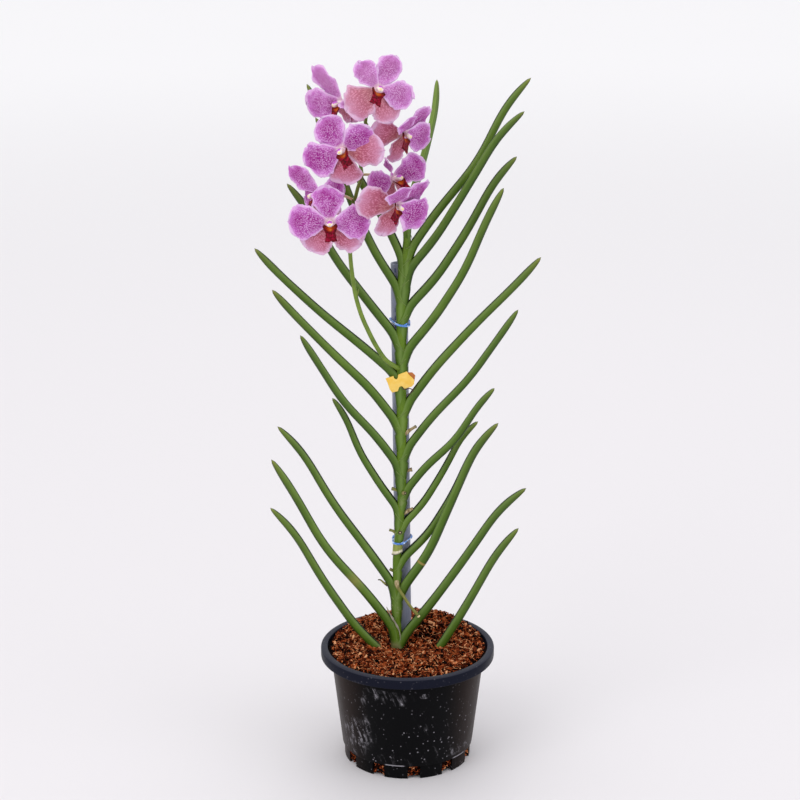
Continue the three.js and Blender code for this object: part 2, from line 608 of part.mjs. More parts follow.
// Turns two coordinates of a point by an angle in degrees
function turned(first, second, degrees) {
  const angle = radians(degrees);
  const [cosine, sine] = [Math.cos(angle), Math.sin(angle)];
  return [first * cosine - second * sine, first * sine + second * cosine];
}

function tepalGeometry([angle, reach, width, lean, twist], forward, index) {
  const rows = TEPAL_ROWS.map((share, i) => {
    const out = TEPAL_START + (reach - TEPAL_START) * share;
    const half = tepalHalf(width, share);
    const eased = THREE.MathUtils.smoothstep(share, 0, TEPAL_TURNED);
    return TEPAL_ACROSS.map((t, j) => {
      const stand = forward * THREE.MathUtils.smoothstep(share, 0, 0.4);
      const wave = TEPAL_WAVE * Math.abs(t) * share * Math.sin(2.4 * i + 1.7 * j + index);
      const bow = TEPAL_BOW * (1 - Math.abs(t)) * Math.sin(Math.PI * share);
      const rounding = share === 1 ? TEPAL_ROUND_END * t * t : 0;
      const height = stand + wave + bow + TEPAL_REFLEX * share * share;
      const [side, rise] = turned(half * t, height, twist * eased);
      const [far, front] = turned(out - rounding, rise, lean * eased);
      return new THREE.Vector3(far, side, front);
    });
  });
  const geometry = sheet(rows, TEPAL_THICK);
  geometry.rotateZ(radians(angle));
  return geometry;
}

// The lilac parts of a bloom: five tepals on a hub, with the pedicel that runs back to the spike
function bloomTepals(bloom, index, spikeRoom) {
  const frame = bloomFrame(bloom);
  const hub = new THREE.SphereGeometry(HUB.radius, 6, 3);
  hub.scale(1, 1, HUB.squash);
  let solid = toSolid(hub.applyMatrix4(frame));
  TEPALS[index].forEach((tepal, i) => {
    const blade = tepalGeometry(tepal, TEPAL_STANDS[i], i + TEPAL_STANDS.length * index);
    solid = solid.add(toSolid(blade.applyMatrix4(frame)));
  });
  const joint = spikePlace(bloom.joint);
  const behind = new THREE.Vector3(0, 0, -PEDICEL.straight).applyMatrix4(frame);
  const middle = behind.clone().lerp(joint, 0.5).addScaledVector(up, PEDICEL.arch);
  const places = [new THREE.Vector3(0, 0, -1).applyMatrix4(frame), behind, middle, joint];
  const { flower, spike } = PEDICEL;
  const pedicel = tube(places.map((p) => p.toArray()), (s) => flower + (spike - flower) * s, 5, 4);
  return largest(solid.add(toSolid(pedicel)).subtract(spikeRoom));
}

function bloomLip(bloom) {
  const rows = LIP_ROWS.map((row, i) =>
    LIP_ACROSS.map((t) => {
      const notch = i === LIP_ROWS.length - 1 ? LIP_NOTCH * Math.abs(1 - 2 * Math.abs(t)) : 0;
      const rise = row.lift * Math.abs(t) ** 1.6;
      return new THREE.Vector3(-row.half * t, row.up + rise, row.out - notch);
    }));
  return toSolid(sheet(rows, LIP_THICK).applyMatrix4(bloomFrame(bloom)));
}

function bloomColumn(bloom) {
  const right = new THREE.Vector3(1, 0, 0);
  const upward = new THREE.Vector3(0, 1, 0);
  const rings = COLUMN.map(([out, radius]) =>
    ring(new THREE.Vector3(0, COLUMN_RAISED, out), right, upward, radius, radius, 6));
  return toSolid(loft(rings).applyMatrix4(bloomFrame(bloom)));
}

// Wire tie: a closed loop drawn round the stem and the stake, a little off both
function tieSolid(tie) {
  const sides = 4;
  const steps = 18;
  const around = [
    { x: stemX(tie.height) + 0.9, y: 0, radius: readAlong(STEM_HALF, tie.height) + 0.9 + TIE_SPACE },
    { x: stakeX(tie.height), y: STAKE.y, radius: STAKE.radius + TIE_SPACE },
  ];
  const middleX = (around[0].x + around[1].x) / 2;
  const points = [];
  const triangles = [];
  for (let i = 0; i < steps; i += 1) {
    const angle = (2 * Math.PI * i) / steps;
    const outward = new THREE.Vector3(Math.cos(angle), Math.sin(angle), 0);
    const reach = (post) => post.x * outward.x + post.y * outward.y + post.radius;
    const post = reach(around[0]) > reach(around[1]) ? around[0] : around[1];
    const centre = new THREE.Vector3(post.x, post.y, 0).addScaledVector(outward, post.radius);
    centre.z = tie.height + tie.slope * (centre.x - middleX);
    points.push(...ring(centre, outward, up, TIE_WIRE, TIE_WIRE, sides));
    for (let j = 0; j < sides; j += 1) {
      const a = i * sides + j;
      const b = i * sides + ((j + 1) % sides);
      const next = ((i + 1) % steps) * sides;
      triangles.push(a, next + j, next + ((j + 1) % sides), a, next + ((j + 1) % sides), b);
    }
  }
  return toSolid(geometryOf(points, triangles));
}

// A flat piece with the given outline in the upright front plane, its back face at the given depth
function uprightPlate(outline, thick, back) {
  const shape = new THREE.Shape(outline.map(([x, z]) => new THREE.Vector2(x, z)));
  const plate = new THREE.ExtrudeGeometry(shape, { depth: thick, bevelEnabled: false });
  plate.rotateX(Math.PI / 2);
  plate.translate(0, back, 0);
  return toSolid(plate);
}

function loopSolid() {
  const front = CLIP_BACK - CLIP_THICK - LOOP_WIRE - GAP;
  const places = CLIP_LOOP.map(([x, z], i) => [x, front + 0.25 * i, z]);
  return toSolid(tube(places, () => LOOP_WIRE, 5, 9));
}

const plant = new THREE.Group();
plant.position.x = SIDE_SHIFT;

function addPiece(name, solid, finish) {
  const mesh = new THREE.Mesh(toGeometry(solid), new THREE.MeshStandardMaterial(FINISH[finish]));
  mesh.name = name;
  plant.add(mesh);
}

// Pieces in the order in which they make room for each other
const stem = stemSolid();
const stemRoom = stemSolid(GAP);
const rootedLeaves = new Set(['leaf_right_12', 'leaf_right_13', 'leaf_left_09', 'leaf_left_10']);
const mediumHoles = [stemRoom, stakeRoom()];
for (const leaf of LEAVES.filter((item) => rootedLeaves.has(item.name))) {
  mediumHoles.push(leafSolid(leaf, GAP));
}
addPiece('pot', potSolid(), 'pot');
addPiece('medium', mediumSolid(mediumHoles), 'medium');
addPiece('stem', stem, 'stem');
addPiece('stake', stakeSolid(), 'stake');
const leafRoom = (name) => leafSolid(LEAVES.find((leaf) => leaf.name === name), GAP);
for (const leaf of LEAVES) {
  let blade = leafSolid(leaf).subtract(stemRoom);
  for (const older of CLASPED[leaf.name] ?? []) blade = blade.subtract(leafRoom(older));
  addPiece(leaf.name, largest(blade), 'leaf');
}

const spikeFoot = spikeSolid().subtract(stemRoom).subtract(leafRoom('leaf_left_04'));
addPiece('flower_spike', largest(spikeFoot), 'spike');
const cutStalk = toSolid(tube(CUT_STALK, () => CUT_STALK_RADIUS, 6, 7));
addPiece('cut_stalk', largest(cutStalk.subtract(stemRoom)), 'dry');

const spikeRoom = spikeSolid(GAP);
BLOOMS.forEach((bloom, index) => {
  const number = index + 1;
  addPiece(`bloom_${number}_tepals`, bloomTepals(bloom, index, spikeRoom), 'tepal');
  addPiece(`bloom_${number}_lip`, bloomLip(bloom), 'lip');
  addPiece(`bloom_${number}_column`, bloomColumn(bloom), 'column');
});

for (const tie of TIES) addPiece(tie.name, tieSolid(tie), 'tie');
addPiece('clip_plate', uprightPlate(CLIP_OUTLINE, CLIP_THICK, CLIP_BACK), 'clip');
const [left, bottom] = JAW.low;
const [right, top] = JAW.high;
const jawOutline = [[left, bottom], [right - 1, bottom], [right, top - 3], [right - 3, top], [left, top]];
addPiece('clip_jaw', uprightPlate(jawOutline, JAW.thick, CLIP_BACK + GAP + JAW.thick), 'jaw');
addPiece('clip_loop', loopSolid(), 'loop');

export default plant;
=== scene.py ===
import random
from math import atan2, cos, exp, inf, pi, radians, sin, sqrt, tau

import bmesh
import bpy
from mathutils import Matrix, Vector, noise


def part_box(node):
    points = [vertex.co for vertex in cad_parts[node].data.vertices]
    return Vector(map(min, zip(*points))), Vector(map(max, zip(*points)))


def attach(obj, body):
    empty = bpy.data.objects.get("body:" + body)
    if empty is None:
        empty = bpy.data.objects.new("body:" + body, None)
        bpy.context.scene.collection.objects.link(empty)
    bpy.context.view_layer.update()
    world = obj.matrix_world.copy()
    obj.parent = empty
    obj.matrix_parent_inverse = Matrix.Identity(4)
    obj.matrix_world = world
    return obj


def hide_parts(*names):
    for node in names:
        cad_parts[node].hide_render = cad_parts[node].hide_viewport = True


bl_info = {
    "name": "Potted Orchid",
    "version": (1, 0, 0),
    "blender": (4, 5, 0),
    "location": "View3D > Sidebar > Orchid",
    "description": "Leaves, flowers, pot and support of a staked orchid, fitted to its solids",
    "category": "Add Mesh",
}

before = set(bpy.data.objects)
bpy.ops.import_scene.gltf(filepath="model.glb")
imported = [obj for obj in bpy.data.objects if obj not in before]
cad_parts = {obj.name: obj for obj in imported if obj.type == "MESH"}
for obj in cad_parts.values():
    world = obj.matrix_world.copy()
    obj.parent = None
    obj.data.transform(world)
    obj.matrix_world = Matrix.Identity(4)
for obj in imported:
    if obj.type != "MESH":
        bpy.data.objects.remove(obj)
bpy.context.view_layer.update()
POT_LOW, POT_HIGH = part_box("pot")

# Places and sizes below are in millimetres from the pot's axis and the table, as the solids are drawn
MM = 0.001
POT_X = (POT_LOW.x + POT_HIGH.x) / 2
POT_HEIGHT = (POT_HIGH.z - POT_LOW.z) / MM
RIM_RADIUS = (POT_HIGH.y - POT_LOW.y) / 2 / MM

# Corners closer than this, in metres, are one corner
JOIN_WITHIN = 1e-6
# Edges that turn by more degrees than this are rounded on moulded parts
SHARP = 60
UP = Vector((0, 0, 1))

# Pot
RIM_INNER = RIM_RADIUS - 7
RIM_DEEP = 10.5
RIM_SKIRT = 2.2
WALL = 1.8
WALL_TOP = POT_HEIGHT - 13
WALL_TOP_RADIUS = 78.3
WALL_FOOT_RADIUS = 67.3
FOOT_HEIGHT = 14
FOOT_RADIUS = 65.3
FOOT_WALL = 2.4
FOOT_INNER = FOOT_RADIUS - FOOT_WALL
FOOT_COUNT = 11
FIRST_DRAIN = 5.7
DRAIN_WIDTH = 13.2
FLOOR_LOW = 3
FLOOR_TOP = 5
POT_STEPS = 132
# Dusty scuffs on the front of the wall: sideways place, height, half width, half height, strength
SCUFFS = [
    (-37, 95, 8, 9, 0.8), (-25, 99.5, 9, 2, 0.6), (-8, 87, 6, 2.6, 1.0), (-14, 93, 13, 8, 0.4),
    (17, 96, 5, 3, 1.0), (-50, 107, 9, 5, 0.4), (-45, 82, 3, 7, 0.45), (-53, 38, 13, 23, 0.85),
    (-40, 49, 9, 20, 0.5), (-17, 22, 14, 6, 0.4), (50, 24, 12, 6, 0.5),
]
# White stressed lines at the wall's foot: from and to, sideways
STRESSED = ((-24, -2), (45, 60))

# Husk chips
MEDIUM_LEVEL = POT_HEIGHT - 2
HEAP = {"height": 14, "x": 8, "y": 54, "wide": 60, "deep": 28}
DIMPLE = {"height": -2.5, "x": -10, "y": -2, "wide": 18, "deep": 18}
# Mound of chips against the foot of the stake, and the hollow beside it, where the chips' tones are
# darkened as painted shade
MOUND = {"height": 7, "x": 4, "y": 15, "wide": 12, "deep": 12}
SHADED_HOLLOW = {"height": -2, "x": 20, "y": 20, "wide": 11, "deep": 11}
MEDIUM_RADIUS = RIM_INNER - 0.7
BED_SINKS = 2.4
CHIP_SEED = 4
CHIP_SHAPES = 8
GAP_CHIPS = 360
CRUMB_SEED = 5
CRUMB_SHAPES = 6
STRAND_SEED = 9
STRAND_BATCH = 100
NUDGE_SEED = 1

# Stem: sideways place by height, half width by height
STEM_AXIS = [(56, -8), (115, -10.4), (213, -11.2), (275, -6), (460, -6.4), (546, -1)]
STEM_HALF = [(56, 4.4), (115, 4.4), (200, 4), (268, 4), (300, 5), (500, 4.8), (530, 4), (546, 2.4)]
STEM_ROWS = 90
SHEATH_LONG = 34
LOWEST_SHEATH = 58
SHEATH_ROWS = 6

# Leaves: height where the blade leaves the stem, length, angle above the horizontal at the bend
# stations, turn towards the back, width factor
BEND_STATIONS = (0, 0.15, 0.4, 0.7, 1)
LEAVES = {
    "leaf_right_01": (541, 170, (87, 68, 49, 57, 88), 66, 0.9),
    "leaf_right_02": (522, 215, (67, 55, 50, 64, 46), 5, 0.95),
    "leaf_right_03": (500, 207, (72, 51, 59, 60, 42), -7, 0.95),
    "leaf_right_04": (465, 195, (60, 47, 57, 62, 46), 4, 1),
    "leaf_right_05": (421, 202, (65, 51, 58, 68, 62), -4, 1),
    "leaf_right_06": (368, 209, (59, 54, 48, 45, 49), 2, 1),
    "leaf_right_07": (322, 192, (59, 54, 47, 56, 57), -3, 0.92),
    "leaf_right_08": (280, 150, (58, 53, 44, 59, 48), -7, 0.9),
    "leaf_right_09": (244, 139, (55, 47, 59, 63, 41), 7, 0.85),
    "leaf_right_10": (170, 219, (63, 56, 68, 68, 48), -8, 1.05),
    "leaf_right_11": (205, 167, (53, 43, 58, 66, 55), 9, 0.95),
    "leaf_right_12": (118, 219, (58, 53, 56, 58, 39), -5, 1.05),
    "leaf_right_13": (65, 221, (47, 52, 60, 63, 50), -3, 1.05),
    "leaf_left_01": (510, 207, (82, 64, 57, 59, 62), 16, 0.92),
    "leaf_left_02": (483, 198, (69, 57, 65, 71, 60), 6, 0.95),
    "leaf_left_03": (436, 197, (63, 52, 53, 62, 50), 2, 1),
    "leaf_left_04": (397, 199, (60, 41, 39, 43, 48), 4, 1),
    "leaf_left_05": (351, 193, (57, 54, 45, 47, 50), -4, 1),
    "leaf_left_06": (303, 179, (70, 55, 48, 59, 59), -5, 0.95),
    "leaf_left_07": (258, 142, (74, 54, 58, 69, 54), 7, 0.88),
    "leaf_left_08": (168, 221, (78, 56, 54, 61, 45), 4, 1),
    "leaf_left_09": (119, 242, (81, 55, 50, 63, 58), -5, 1.05),
    "leaf_left_10": (96, 218, (42, 46, 57, 62, 46), -2, 1),
}
BLADE_HALF = 5.1
BLADE_ACROSS = 4.4
BLADE_THIN = 0.24
BLADE_TIP = 0.86
BLADE_GROOVE = 0.62
BLADE_COLUMNS = 28
BLADE_ROWS = 46
BLADE_STRIDE = 1 / 96
# Thin brown rings and yellowed patches on single leaves, as shares of their length
SCARS = {"leaf_right_10": 0.223, "leaf_right_13": 0.19}
YELLOWED = {"leaf_left_09": 0.36}

# Flower spike, and the stub of an old one
SPIKE = [
    (-8, -2, 414), (-13.5, -7.5, 419.5), (-21.5, -10, 426), (-30.5, -12.5, 440), (-38.3, -14, 456),
    (-45.2, -16, 473), (-50.5, -17, 492), (-53, -18, 508), (-55.2, -18, 528), (-55.8, -18, 545),
    (-54.7, -18, 558), (-51.6, -18, 582), (-48, -19, 598), (-44, -20, 611), (-45.4, -20, 624),
    (-42.7, -20, 638), (-39.2, -20, 650), (-40, -22, 662), (-38, -25, 674),
]
SPIKE_FOOT = 2.4
SPIKE_TOP = 1.5
LOWEST_BRACT = 497
CUT_STALK = [(-11, -2, 191), (-10.5, -7, 187), (-4, -9.5, 176.5), (3.5, -10.2, 165), (11.7, -10.2, 154.4)]
CUT_STALK_RADIUS = 1.8

# Blooms: middle, side it faces, how far up it faces, turn about its own axis, height of its joint
BLOOMS = [
    ((-28, -66, 699), 14, 4, -28, 673),
    ((-62, -20, 680), -54, -12, 8, 661),
    ((-61, -64, 643), -12, -8, 40, 624),
    ((-5, -32, 653), 42, -14, -42, 640),
    ((-14, -12, 606), 50, 10, 10, 611),
    ((-11, -58, 590), 30, -14, -50, 582),
    ((-73, -62, 574), 0, -3, 5, 556),
    ((-85, -24, 592), -60, 0, 40, 586),
]
# The top, right, left, lower right and lower left tepal of each bloom: angle round the hub, reach, full
# width, lean towards the front, twist about its own length
TEPALS = [
    [(86, 34, 23, 0, 0), (11, 34, 25, 0, 0), (153, 30, 21, 0, 0),
     (-37, 34, 26, 0, 0), (-117, 34, 32, 0, 0)],
    [(112, 42, 22, 20, 10), (-15, 34, 24, 10, 60), (175, 40, 29, 24, 0),
     (-62, 21, 19, 0, 0), (-110, 22, 19, 0, 0)],
    [(85, 34, 30, 0, 0), (-3, 34, 29, 0, 20), (165, 39, 32, 0, 0),
     (-42, 38, 30, 0, 0), (-128, 35, 30, 0, 0)],
    [(68, 39, 23, 0, 14), (28, 38, 28, 0, 0), (160, 28, 24, 35, 0),
     (-52, 31, 20, 0, 0), (-140, 38, 27, 0, 0)],
    [(84, 21, 15, 0, 60), (15, 34, 27, 35, 0), (174, 36, 23, 0, 0),
     (-36, 27, 22, 0, 0), (-128, 24, 20, 0, 0)],
    [(72, 38, 26, 0, 26), (20, 39, 33, 0, 0), (160, 30, 26, 35, 0),
     (-54, 34, 24, 0, 0), (-138, 41, 30, 0, 0)],
    [(90, 33, 28, 0, 0), (-4, 37, 31, 0, 0), (174, 39, 32, 0, 0),
     (-42, 36, 31, 0, 0), (-132, 34, 31, 0, 0)],
    [(95, 41, 17, 25, 50), (-16, 26, 27, -45, 0), (150, 31, 26, 0, 0),
     (-80, 25, 22, -20, 0), (-136, 25, 23, 0, 0)],
]
# Heights between which the flowers turn paler towards the top of the spike
PALER_FROM = 650
PALER_TO = 700
TEPAL_STANDS = (-1.7, 1.7, 1.7, -1.7, -1.7)
TEPAL_CLAW = 1.9
TEPAL_START = 1.6
TEPAL_OPENS = -0.12
TEPAL_TURNED = 0.35
TEPAL_WIDEST = 0.58
TEPAL_THICK = 0.8
PEDICEL_STRAIGHT = 13
# Lip rows: how far below the middle, how far out, half width, how high the edges rise
LIP_ROWS = [
    (-3.9, 4.2, 5.8, 3.5),
    (-5.6, 8, 6.9, 3.8),
    (-8.4, 11.5, 4.6, 1.2),
    (-11.4, 14.7, 5.2, -0.8),
    (-14.2, 17.8, 5.6, -0.6),
]
LIP_NOTCH = 2.6
# Column: share of its length, and radius
COLUMN_ROWS = [
    (0, 0), (0, 2.3), (0.15, 2.6), (0.4, 2.7), (0.6, 3.1), (0.78, 3.0), (0.9, 2.3), (0.97, 1.2), (1, 0),
]

# Stake, ties and clip
STAKE_FOOT = 24
STAKE_FOOT_X = -3
STAKE_TOP_X = -8.7
STAKE_Y = 14.4
STAKE_RADIUS = 8.3
STAKE_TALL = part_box("stake")[1].z / MM - STAKE_FOOT
STAKE_WALL = 1.5
# Ties: height, slope; then how far off stem and stake their wire's middle runs
TIES = {"tie_upper": (460, -0.12), "tie_lower": (232, 0.05)}
TIE_OFF = 1.2
CLIP_OUTLINE = [
    (-21.9, 406.4), (-14.2, 408.8), (-13.4, 406.8), (-12.3, 405.5), (-10.9, 405.5), (-9.9, 406.8),
    (-9.5, 410.2), (-0.9, 413.6), (0.8, 410.6), (4.4, 407.2), (6.4, 404.6), (6.1, 400.8), (4.2, 398.2),
    (-3.8, 395.6), (-4.7, 397.7), (-6.5, 398.6), (-8.4, 397.6), (-9.8, 393.4), (-15.4, 391.9),
    (-17.9, 395.2), (-19.6, 400.8),
]
CLIP_BACK = -6
CLIP_THICK = 1.5
JAW_OUTLINE = [(-0.4, 402.5), (6.4, 402.5), (7.4, 409), (4.4, 412), (-0.4, 412)]
CLIP_LOOP = [(-5, 397), (-3, 395.4), (1.2, 396.4), (5, 394.4), (2.6, 391.4), (-0.8, 389.6), (-1.4, 387.6)]

# Camera, in millimetres, its tilt in degrees, and the lights, in metres
CAMERA = (-7.7, -1901, 951)
CAMERA_TILT = 73.34
LENS = 90
FILM = 36
LIT_MIDDLE = (0, 0, 0.38)
LIGHT_WIDE = 1.6

# Stubs of old roots and stalks on the stem: from, to, radius
STUBS = [
    ((-4, -1, 346), (8, -7.6, 357), 1.9),
    ((-4, 0, 306), (4.4, 0, 309.5), 2.2),
    ((-9, 0, 286), (-16, -1, 289.5), 1.8),
    ((-5.8, -2, 284), (-2.5, -8, 287), 1.9),
    ((-4, 0, 262), (5.4, -1, 268.5), 1.9),
    ((-10, 0, 241), (-18.5, 0, 245), 1.8),
    ((-7.6, -2, 242), (-7.6, -7, 244.6), 2),
    ((-11, 0, 197), (-18, 0, 202.6), 1.6),
]
STUB_TONES = (0.0, 0.15, 0.45, 0.3, 0.1, 0.5, 0.55, 0.6)
DEAD_ROOT = [(-20.5, -2, 185.5), (-24, -2, 188.2), (-27.5, -2, 191.4), (-30, -2, 191.6)]
# Where an old sheath has torn off the stem, and the grey strip of another one
TORN_LOW = 220.5
TORN_HIGH = 231
OLD_STRIP = [
    (-21.5, -4.6, 163), (-16.6, -5.6, 153), (-11.5, -6.1, 144), (-8.2, -6.2, 136), (-7.2, -6, 127),
]
ROOTS = {"turns": (-35, -95, -155, 170), "thick": 2.3, "reach": 42, "from": 68, "drop": 34}


def tint(red, green, blue):
    """A colour given in screen values from 0 to 255, as the linear values that a shader takes."""
    def linear(value):
        share = value / 255
        return share / 12.92 if share <= 0.04045 else ((share + 0.055) / 1.055) ** 2.4

    return (linear(red), linear(green), linear(blue), 1.0)


def spot(x, y, z):
    """A place in the plant's millimetres as a place in the scene."""
    return Vector((POT_X + x * MM, y * MM, z * MM))


def turned_spot(matrix, x, y, z):
    return spot(*(matrix @ Vector((x, y, z))))


def read_along(pairs, at):
    """Reads a list of (position, value) pairs, straight between them."""
    if at <= pairs[0][0]:
        return pairs[0][1]
    for (start, low), (end, high) in zip(pairs, pairs[1:]):
        if at <= end:
            return low + (high - low) * (at - start) / (end - start)
    return pairs[-1][1]


def ease(value, start=0.0, end=1.0):
    """Smooth step from 0 at start to 1 at end."""
    share = min(max((value - start) / (end - start), 0.0), 1.0)
    return share * share * (3 - 2 * share)


def curve_points(points, count):
    """Evenly spaced places on a smooth curve through the points."""
    given = [Vector(point) for point in points]
    ends = [given[0] * 2 - given[1], *given, given[-1] * 2 - given[-2]]
    dense = []
    for before, start, end, after in zip(ends, ends[1:], ends[2:], ends[3:]):
        first = sqrt((start - before).length)
        second = first + sqrt((end - start).length)
        third = second + sqrt((after - end).length)
        for step in range(12):
            at = first + (second - first) * step / 12
            low = before.lerp(start, at / first)
            middle = start.lerp(end, (at - first) / (second - first))
            high = end.lerp(after, (at - second) / (third - second))
            lower = low.lerp(middle, at / second)
            upper = middle.lerp(high, (at - first) / (third - first))
            dense.append(lower.lerp(upper, (at - first) / (second - first)))
    dense.append(given[-1])
    travelled = [0.0]
    for one, other in zip(dense, dense[1:]):
        travelled.append(travelled[-1] + (other - one).length)
    places = []
    index = 0
    for step in range(count + 1):
        wanted = travelled[-1] * step / count
        while index < len(dense) - 2 and travelled[index + 1] < wanted:
            index += 1
        span = travelled[index + 1] - travelled[index]
        places.append(dense[index].lerp(dense[index + 1], (wanted - travelled[index]) / span))
    return places


def carried_frames(places):
    """Direction and two crosswise directions at each place, carried along without twist."""
    frames = []
    crosswise = None
    for index in range(len(places)):
        ahead = places[min(index + 1, len(places) - 1)] - places[max(index - 1, 0)]
        along = ahead.normalized()
        if crosswise is None:
            crosswise = along.orthogonal()
        crosswise = (crosswise - along * crosswise.dot(along)).normalized()
        frames.append((along, crosswise, along.cross(crosswise)))
    return frames


def new_bmesh():
    bm = bmesh.new()
    bm.loops.layers.uv.new("UVMap")
    bm.verts.layers.float.new("tint")
    return bm


def wrap(bm, columns, rows, place, value=0.0, material=0):
    """Adds a grid and moves its corners to place(u, v), with u and v from 0 to 1."""
    made = bmesh.ops.create_grid(bm, x_segments=columns, y_segments=rows, size=0.5, calc_uvs=True)
    layer = bm.verts.layers.float["tint"]
    faces = set()
    for vert in made["verts"]:
        u = vert.co.x + 0.5
        v = vert.co.y + 0.5
        vert.co = place(u, v)
        vert[layer] = value(u, v) if callable(value) else value
        faces.update(vert.link_faces)
    for face in faces:
        face.material_index = material


def tube(bm, points, radius_at, sides, steps, value=0.0, flat_ends=False):
    """Adds a tube along a smooth curve, in the plant's millimetres, with both ends closed."""
    places = curve_points(points, steps)
    frames = carried_frames(places)
    closing = (0.0, 0.96) if flat_ends else (0.0, 0.7)
    rings = [(0, closing[0]), (0, closing[1])]
    rings += [(index, 1.0) for index in range(steps + 1)]
    rings += [(steps, closing[1]), (steps, closing[0])]
    rows = len(rings) - 1
    bulge = 0.0 if flat_ends else 0.6

    def place(u, v):
        number = round(v * rows)
        index, share = rings[number]
        along, first, second = frames[index]
        radius = radius_at(index / steps)
        end = -1 if number < 2 else 1 if number > rows - 2 else 0
        out = end * bulge * radius * (1 - share)
        turn = tau * u
        around = first * cos(turn) + second * sin(turn)
        centre = places[index] + along * out + around * radius * share
        return spot(*centre)

    wrap(bm, sides, rows, place, value)


def closed(bm):
    """Joins seams and poles, and turns every face outwards."""
    bmesh.ops.remove_doubles(bm, verts=bm.verts, dist=JOIN_WITHIN)
    bmesh.ops.recalc_face_normals(bm, faces=bm.faces)
    return bm


def rounded(bm, by, segments, below=inf):
    """Bevels the sharp edges of a closed shape that lie below a height."""
    edges = []
    for edge in bm.edges:
        sharp = len(edge.link_faces) == 2 and edge.calc_face_angle(0) > radians(SHARP)
        if sharp and max(vert.co.z for vert in edge.verts) < below:
            edges.append(edge)
    bmesh.ops.bevel(bm, geom=edges, offset=by * MM, affect="EDGES", segments=segments, profile=0.5,
                    material=-1)
    return bm


def mesh_of(name, bm):
    mesh = bpy.data.meshes.new(name)
    bm.to_mesh(mesh)
    bm.free()
    return mesh


def add_piece(name, bm, materials, nodes, sharp=50):
    """Makes the mesh an object that rides with the plant and stands for its CAD nodes."""
    limit = radians(sharp)
    for face in bm.faces:
        face.smooth = True
    for edge in bm.edges:
        edge.smooth = len(edge.link_faces) != 2 or edge.calc_face_angle(0) < limit
    mesh = mesh_of(name, bm)
    for material in materials:
        mesh.materials.append(material)
    piece = bpy.data.objects.new(name, mesh)
    bpy.context.scene.collection.objects.link(piece)
    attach(piece, "root")
    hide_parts(*nodes)
    return piece


class Finish:
    """A material in the making: its nodes, and how they reach the shader."""

    def __init__(self, name, roughness, **sockets):
        self.material = bpy.data.materials.new(name)
        self.material.use_nodes = True
        self.tree = self.material.node_tree
        self.shader = self.tree.nodes["Principled BSDF"]
        self.roughness(roughness)
        for socket, value in sockets.items():
            self.put(self.shader, socket.replace("_", " "), value)
        coordinates = self.node("TexCoord")
        self.object_place = coordinates.outputs["Object"]
        self.uv = coordinates.outputs["UV"]

    def node(self, kind, **options):
        made = self.tree.nodes.new("ShaderNode" + kind)
        for option, value in options.items():
            setattr(made, option, value)
        return made

    def put(self, node, socket, value):
        if isinstance(value, bpy.types.NodeSocket):
            self.tree.links.new(value, node.inputs[socket])
        else:
            node.inputs[socket].default_value = value

    def fill(self, node, values, sockets=(0, 1, 2, 3, 4)):
        for socket, value in zip(sockets, values):
            self.put(node, socket, value)
        return node.outputs[0]

    def math(self, operation, *values):
        return self.fill(self.node("Math", operation=operation), values)

    def plus(self, first, second):
        return self.math("ADD", first, second)

    def minus(self, first, second):
        return self.math("SUBTRACT", first, second)

    def times(self, first, *others):
        for other in others:
            first = self.math("MULTIPLY", first, other)
        return first

    def over(self, first, second):
        return self.math("DIVIDE", first, second)

    def most(self, first, second):
        return self.math("MAXIMUM", first, second)

    def apart(self, first, second):
        """Distance between two values."""
        return self.math("ABSOLUTE", self.minus(first, second))

    def fade(self, value, start, end, low=0.0, high=1.0):
        """Smooth step of a value between start and end."""
        node = self.node("MapRange", interpolation_type="SMOOTHSTEP")
        return self.fill(node, (value, start, end, low, high))

    def mix(self, share, first, second):
        node = self.node("Mix", data_type="RGBA")
        self.fill(node, (share, first, second), (0, 6, 7))
        return node.outputs[2]

    def ramp(self, value, stops):
        """Colour of a value, by stops of a position and a colour or its three screen values."""
        node = self.node("ValToRGB")
        elements = node.color_ramp.elements
        while len(elements) < len(stops):
            elements.new(0.5)
        for element, (position, *color) in zip(elements, stops):
            element.position = position
            element.color = color[0] if len(color) == 1 else tint(*color)
        return self.fill(node, [value])

    def noise(self, vector, scale, detail=3.0, rough=0.55):
        return self.fill(self.node("TexNoise"), (vector, scale, detail, rough),
                         ("Vector", "Scale", "Detail", "Roughness"))

    def cloud(self, scale, detail=3.0, rough=0.55):
        """Noise in the piece's own space."""
        return self.noise(self.object_place, scale, detail, rough)

    def cells(self, vector, scale, randomness=1.0):
        """Distance from the middle of the nearest of many scattered cells."""
        node = self.node("TexVoronoi")
        return self.fill(node, (vector, scale, randomness), ("Vector", "Scale", "Randomness"))

    def split(self, vector):
        node = self.node("SeparateXYZ")
        self.fill(node, [vector])
        return tuple(node.outputs)

    def join(self, x, y, z=0.0):
        return self.fill(self.node("CombineXYZ"), (x, y, z))

    def unrolled(self, around, along, depth=0.0):
        """The piece's UV map, stretched by two factors."""
        u, v, _ = self.split(self.uv)
        return self.join(self.times(u, around), self.times(v, along), depth)

    def stretch(self, x, y, z):
        """The piece's own space, stretched."""
        return self.fill(self.node("Mapping"), (self.object_place, (x, y, z)), ("Vector", "Scale"))

    def attribute(self, name):
        return self.node("Attribute", attribute_name=name).outputs["Fac"]

    def color(self, source):
        self.put(self.shader, "Base Color", source)

    def roughness(self, source):
        self.put(self.shader, "Roughness", source)

    def bump(self, height, distance, strength=0.5):
        node = self.node("Bump")
        self.put(self.shader, "Normal", self.fill(node, (strength, distance, height),
                                                  ("Strength", "Distance", "Height")))


def colour(name, description, *values):
    """A colour that a user may change, with its default in screen values."""
    return bpy.props.FloatVectorProperty(
        name=name, description=description, subtype="COLOR", size=4, min=0, max=1, default=tint(*values))


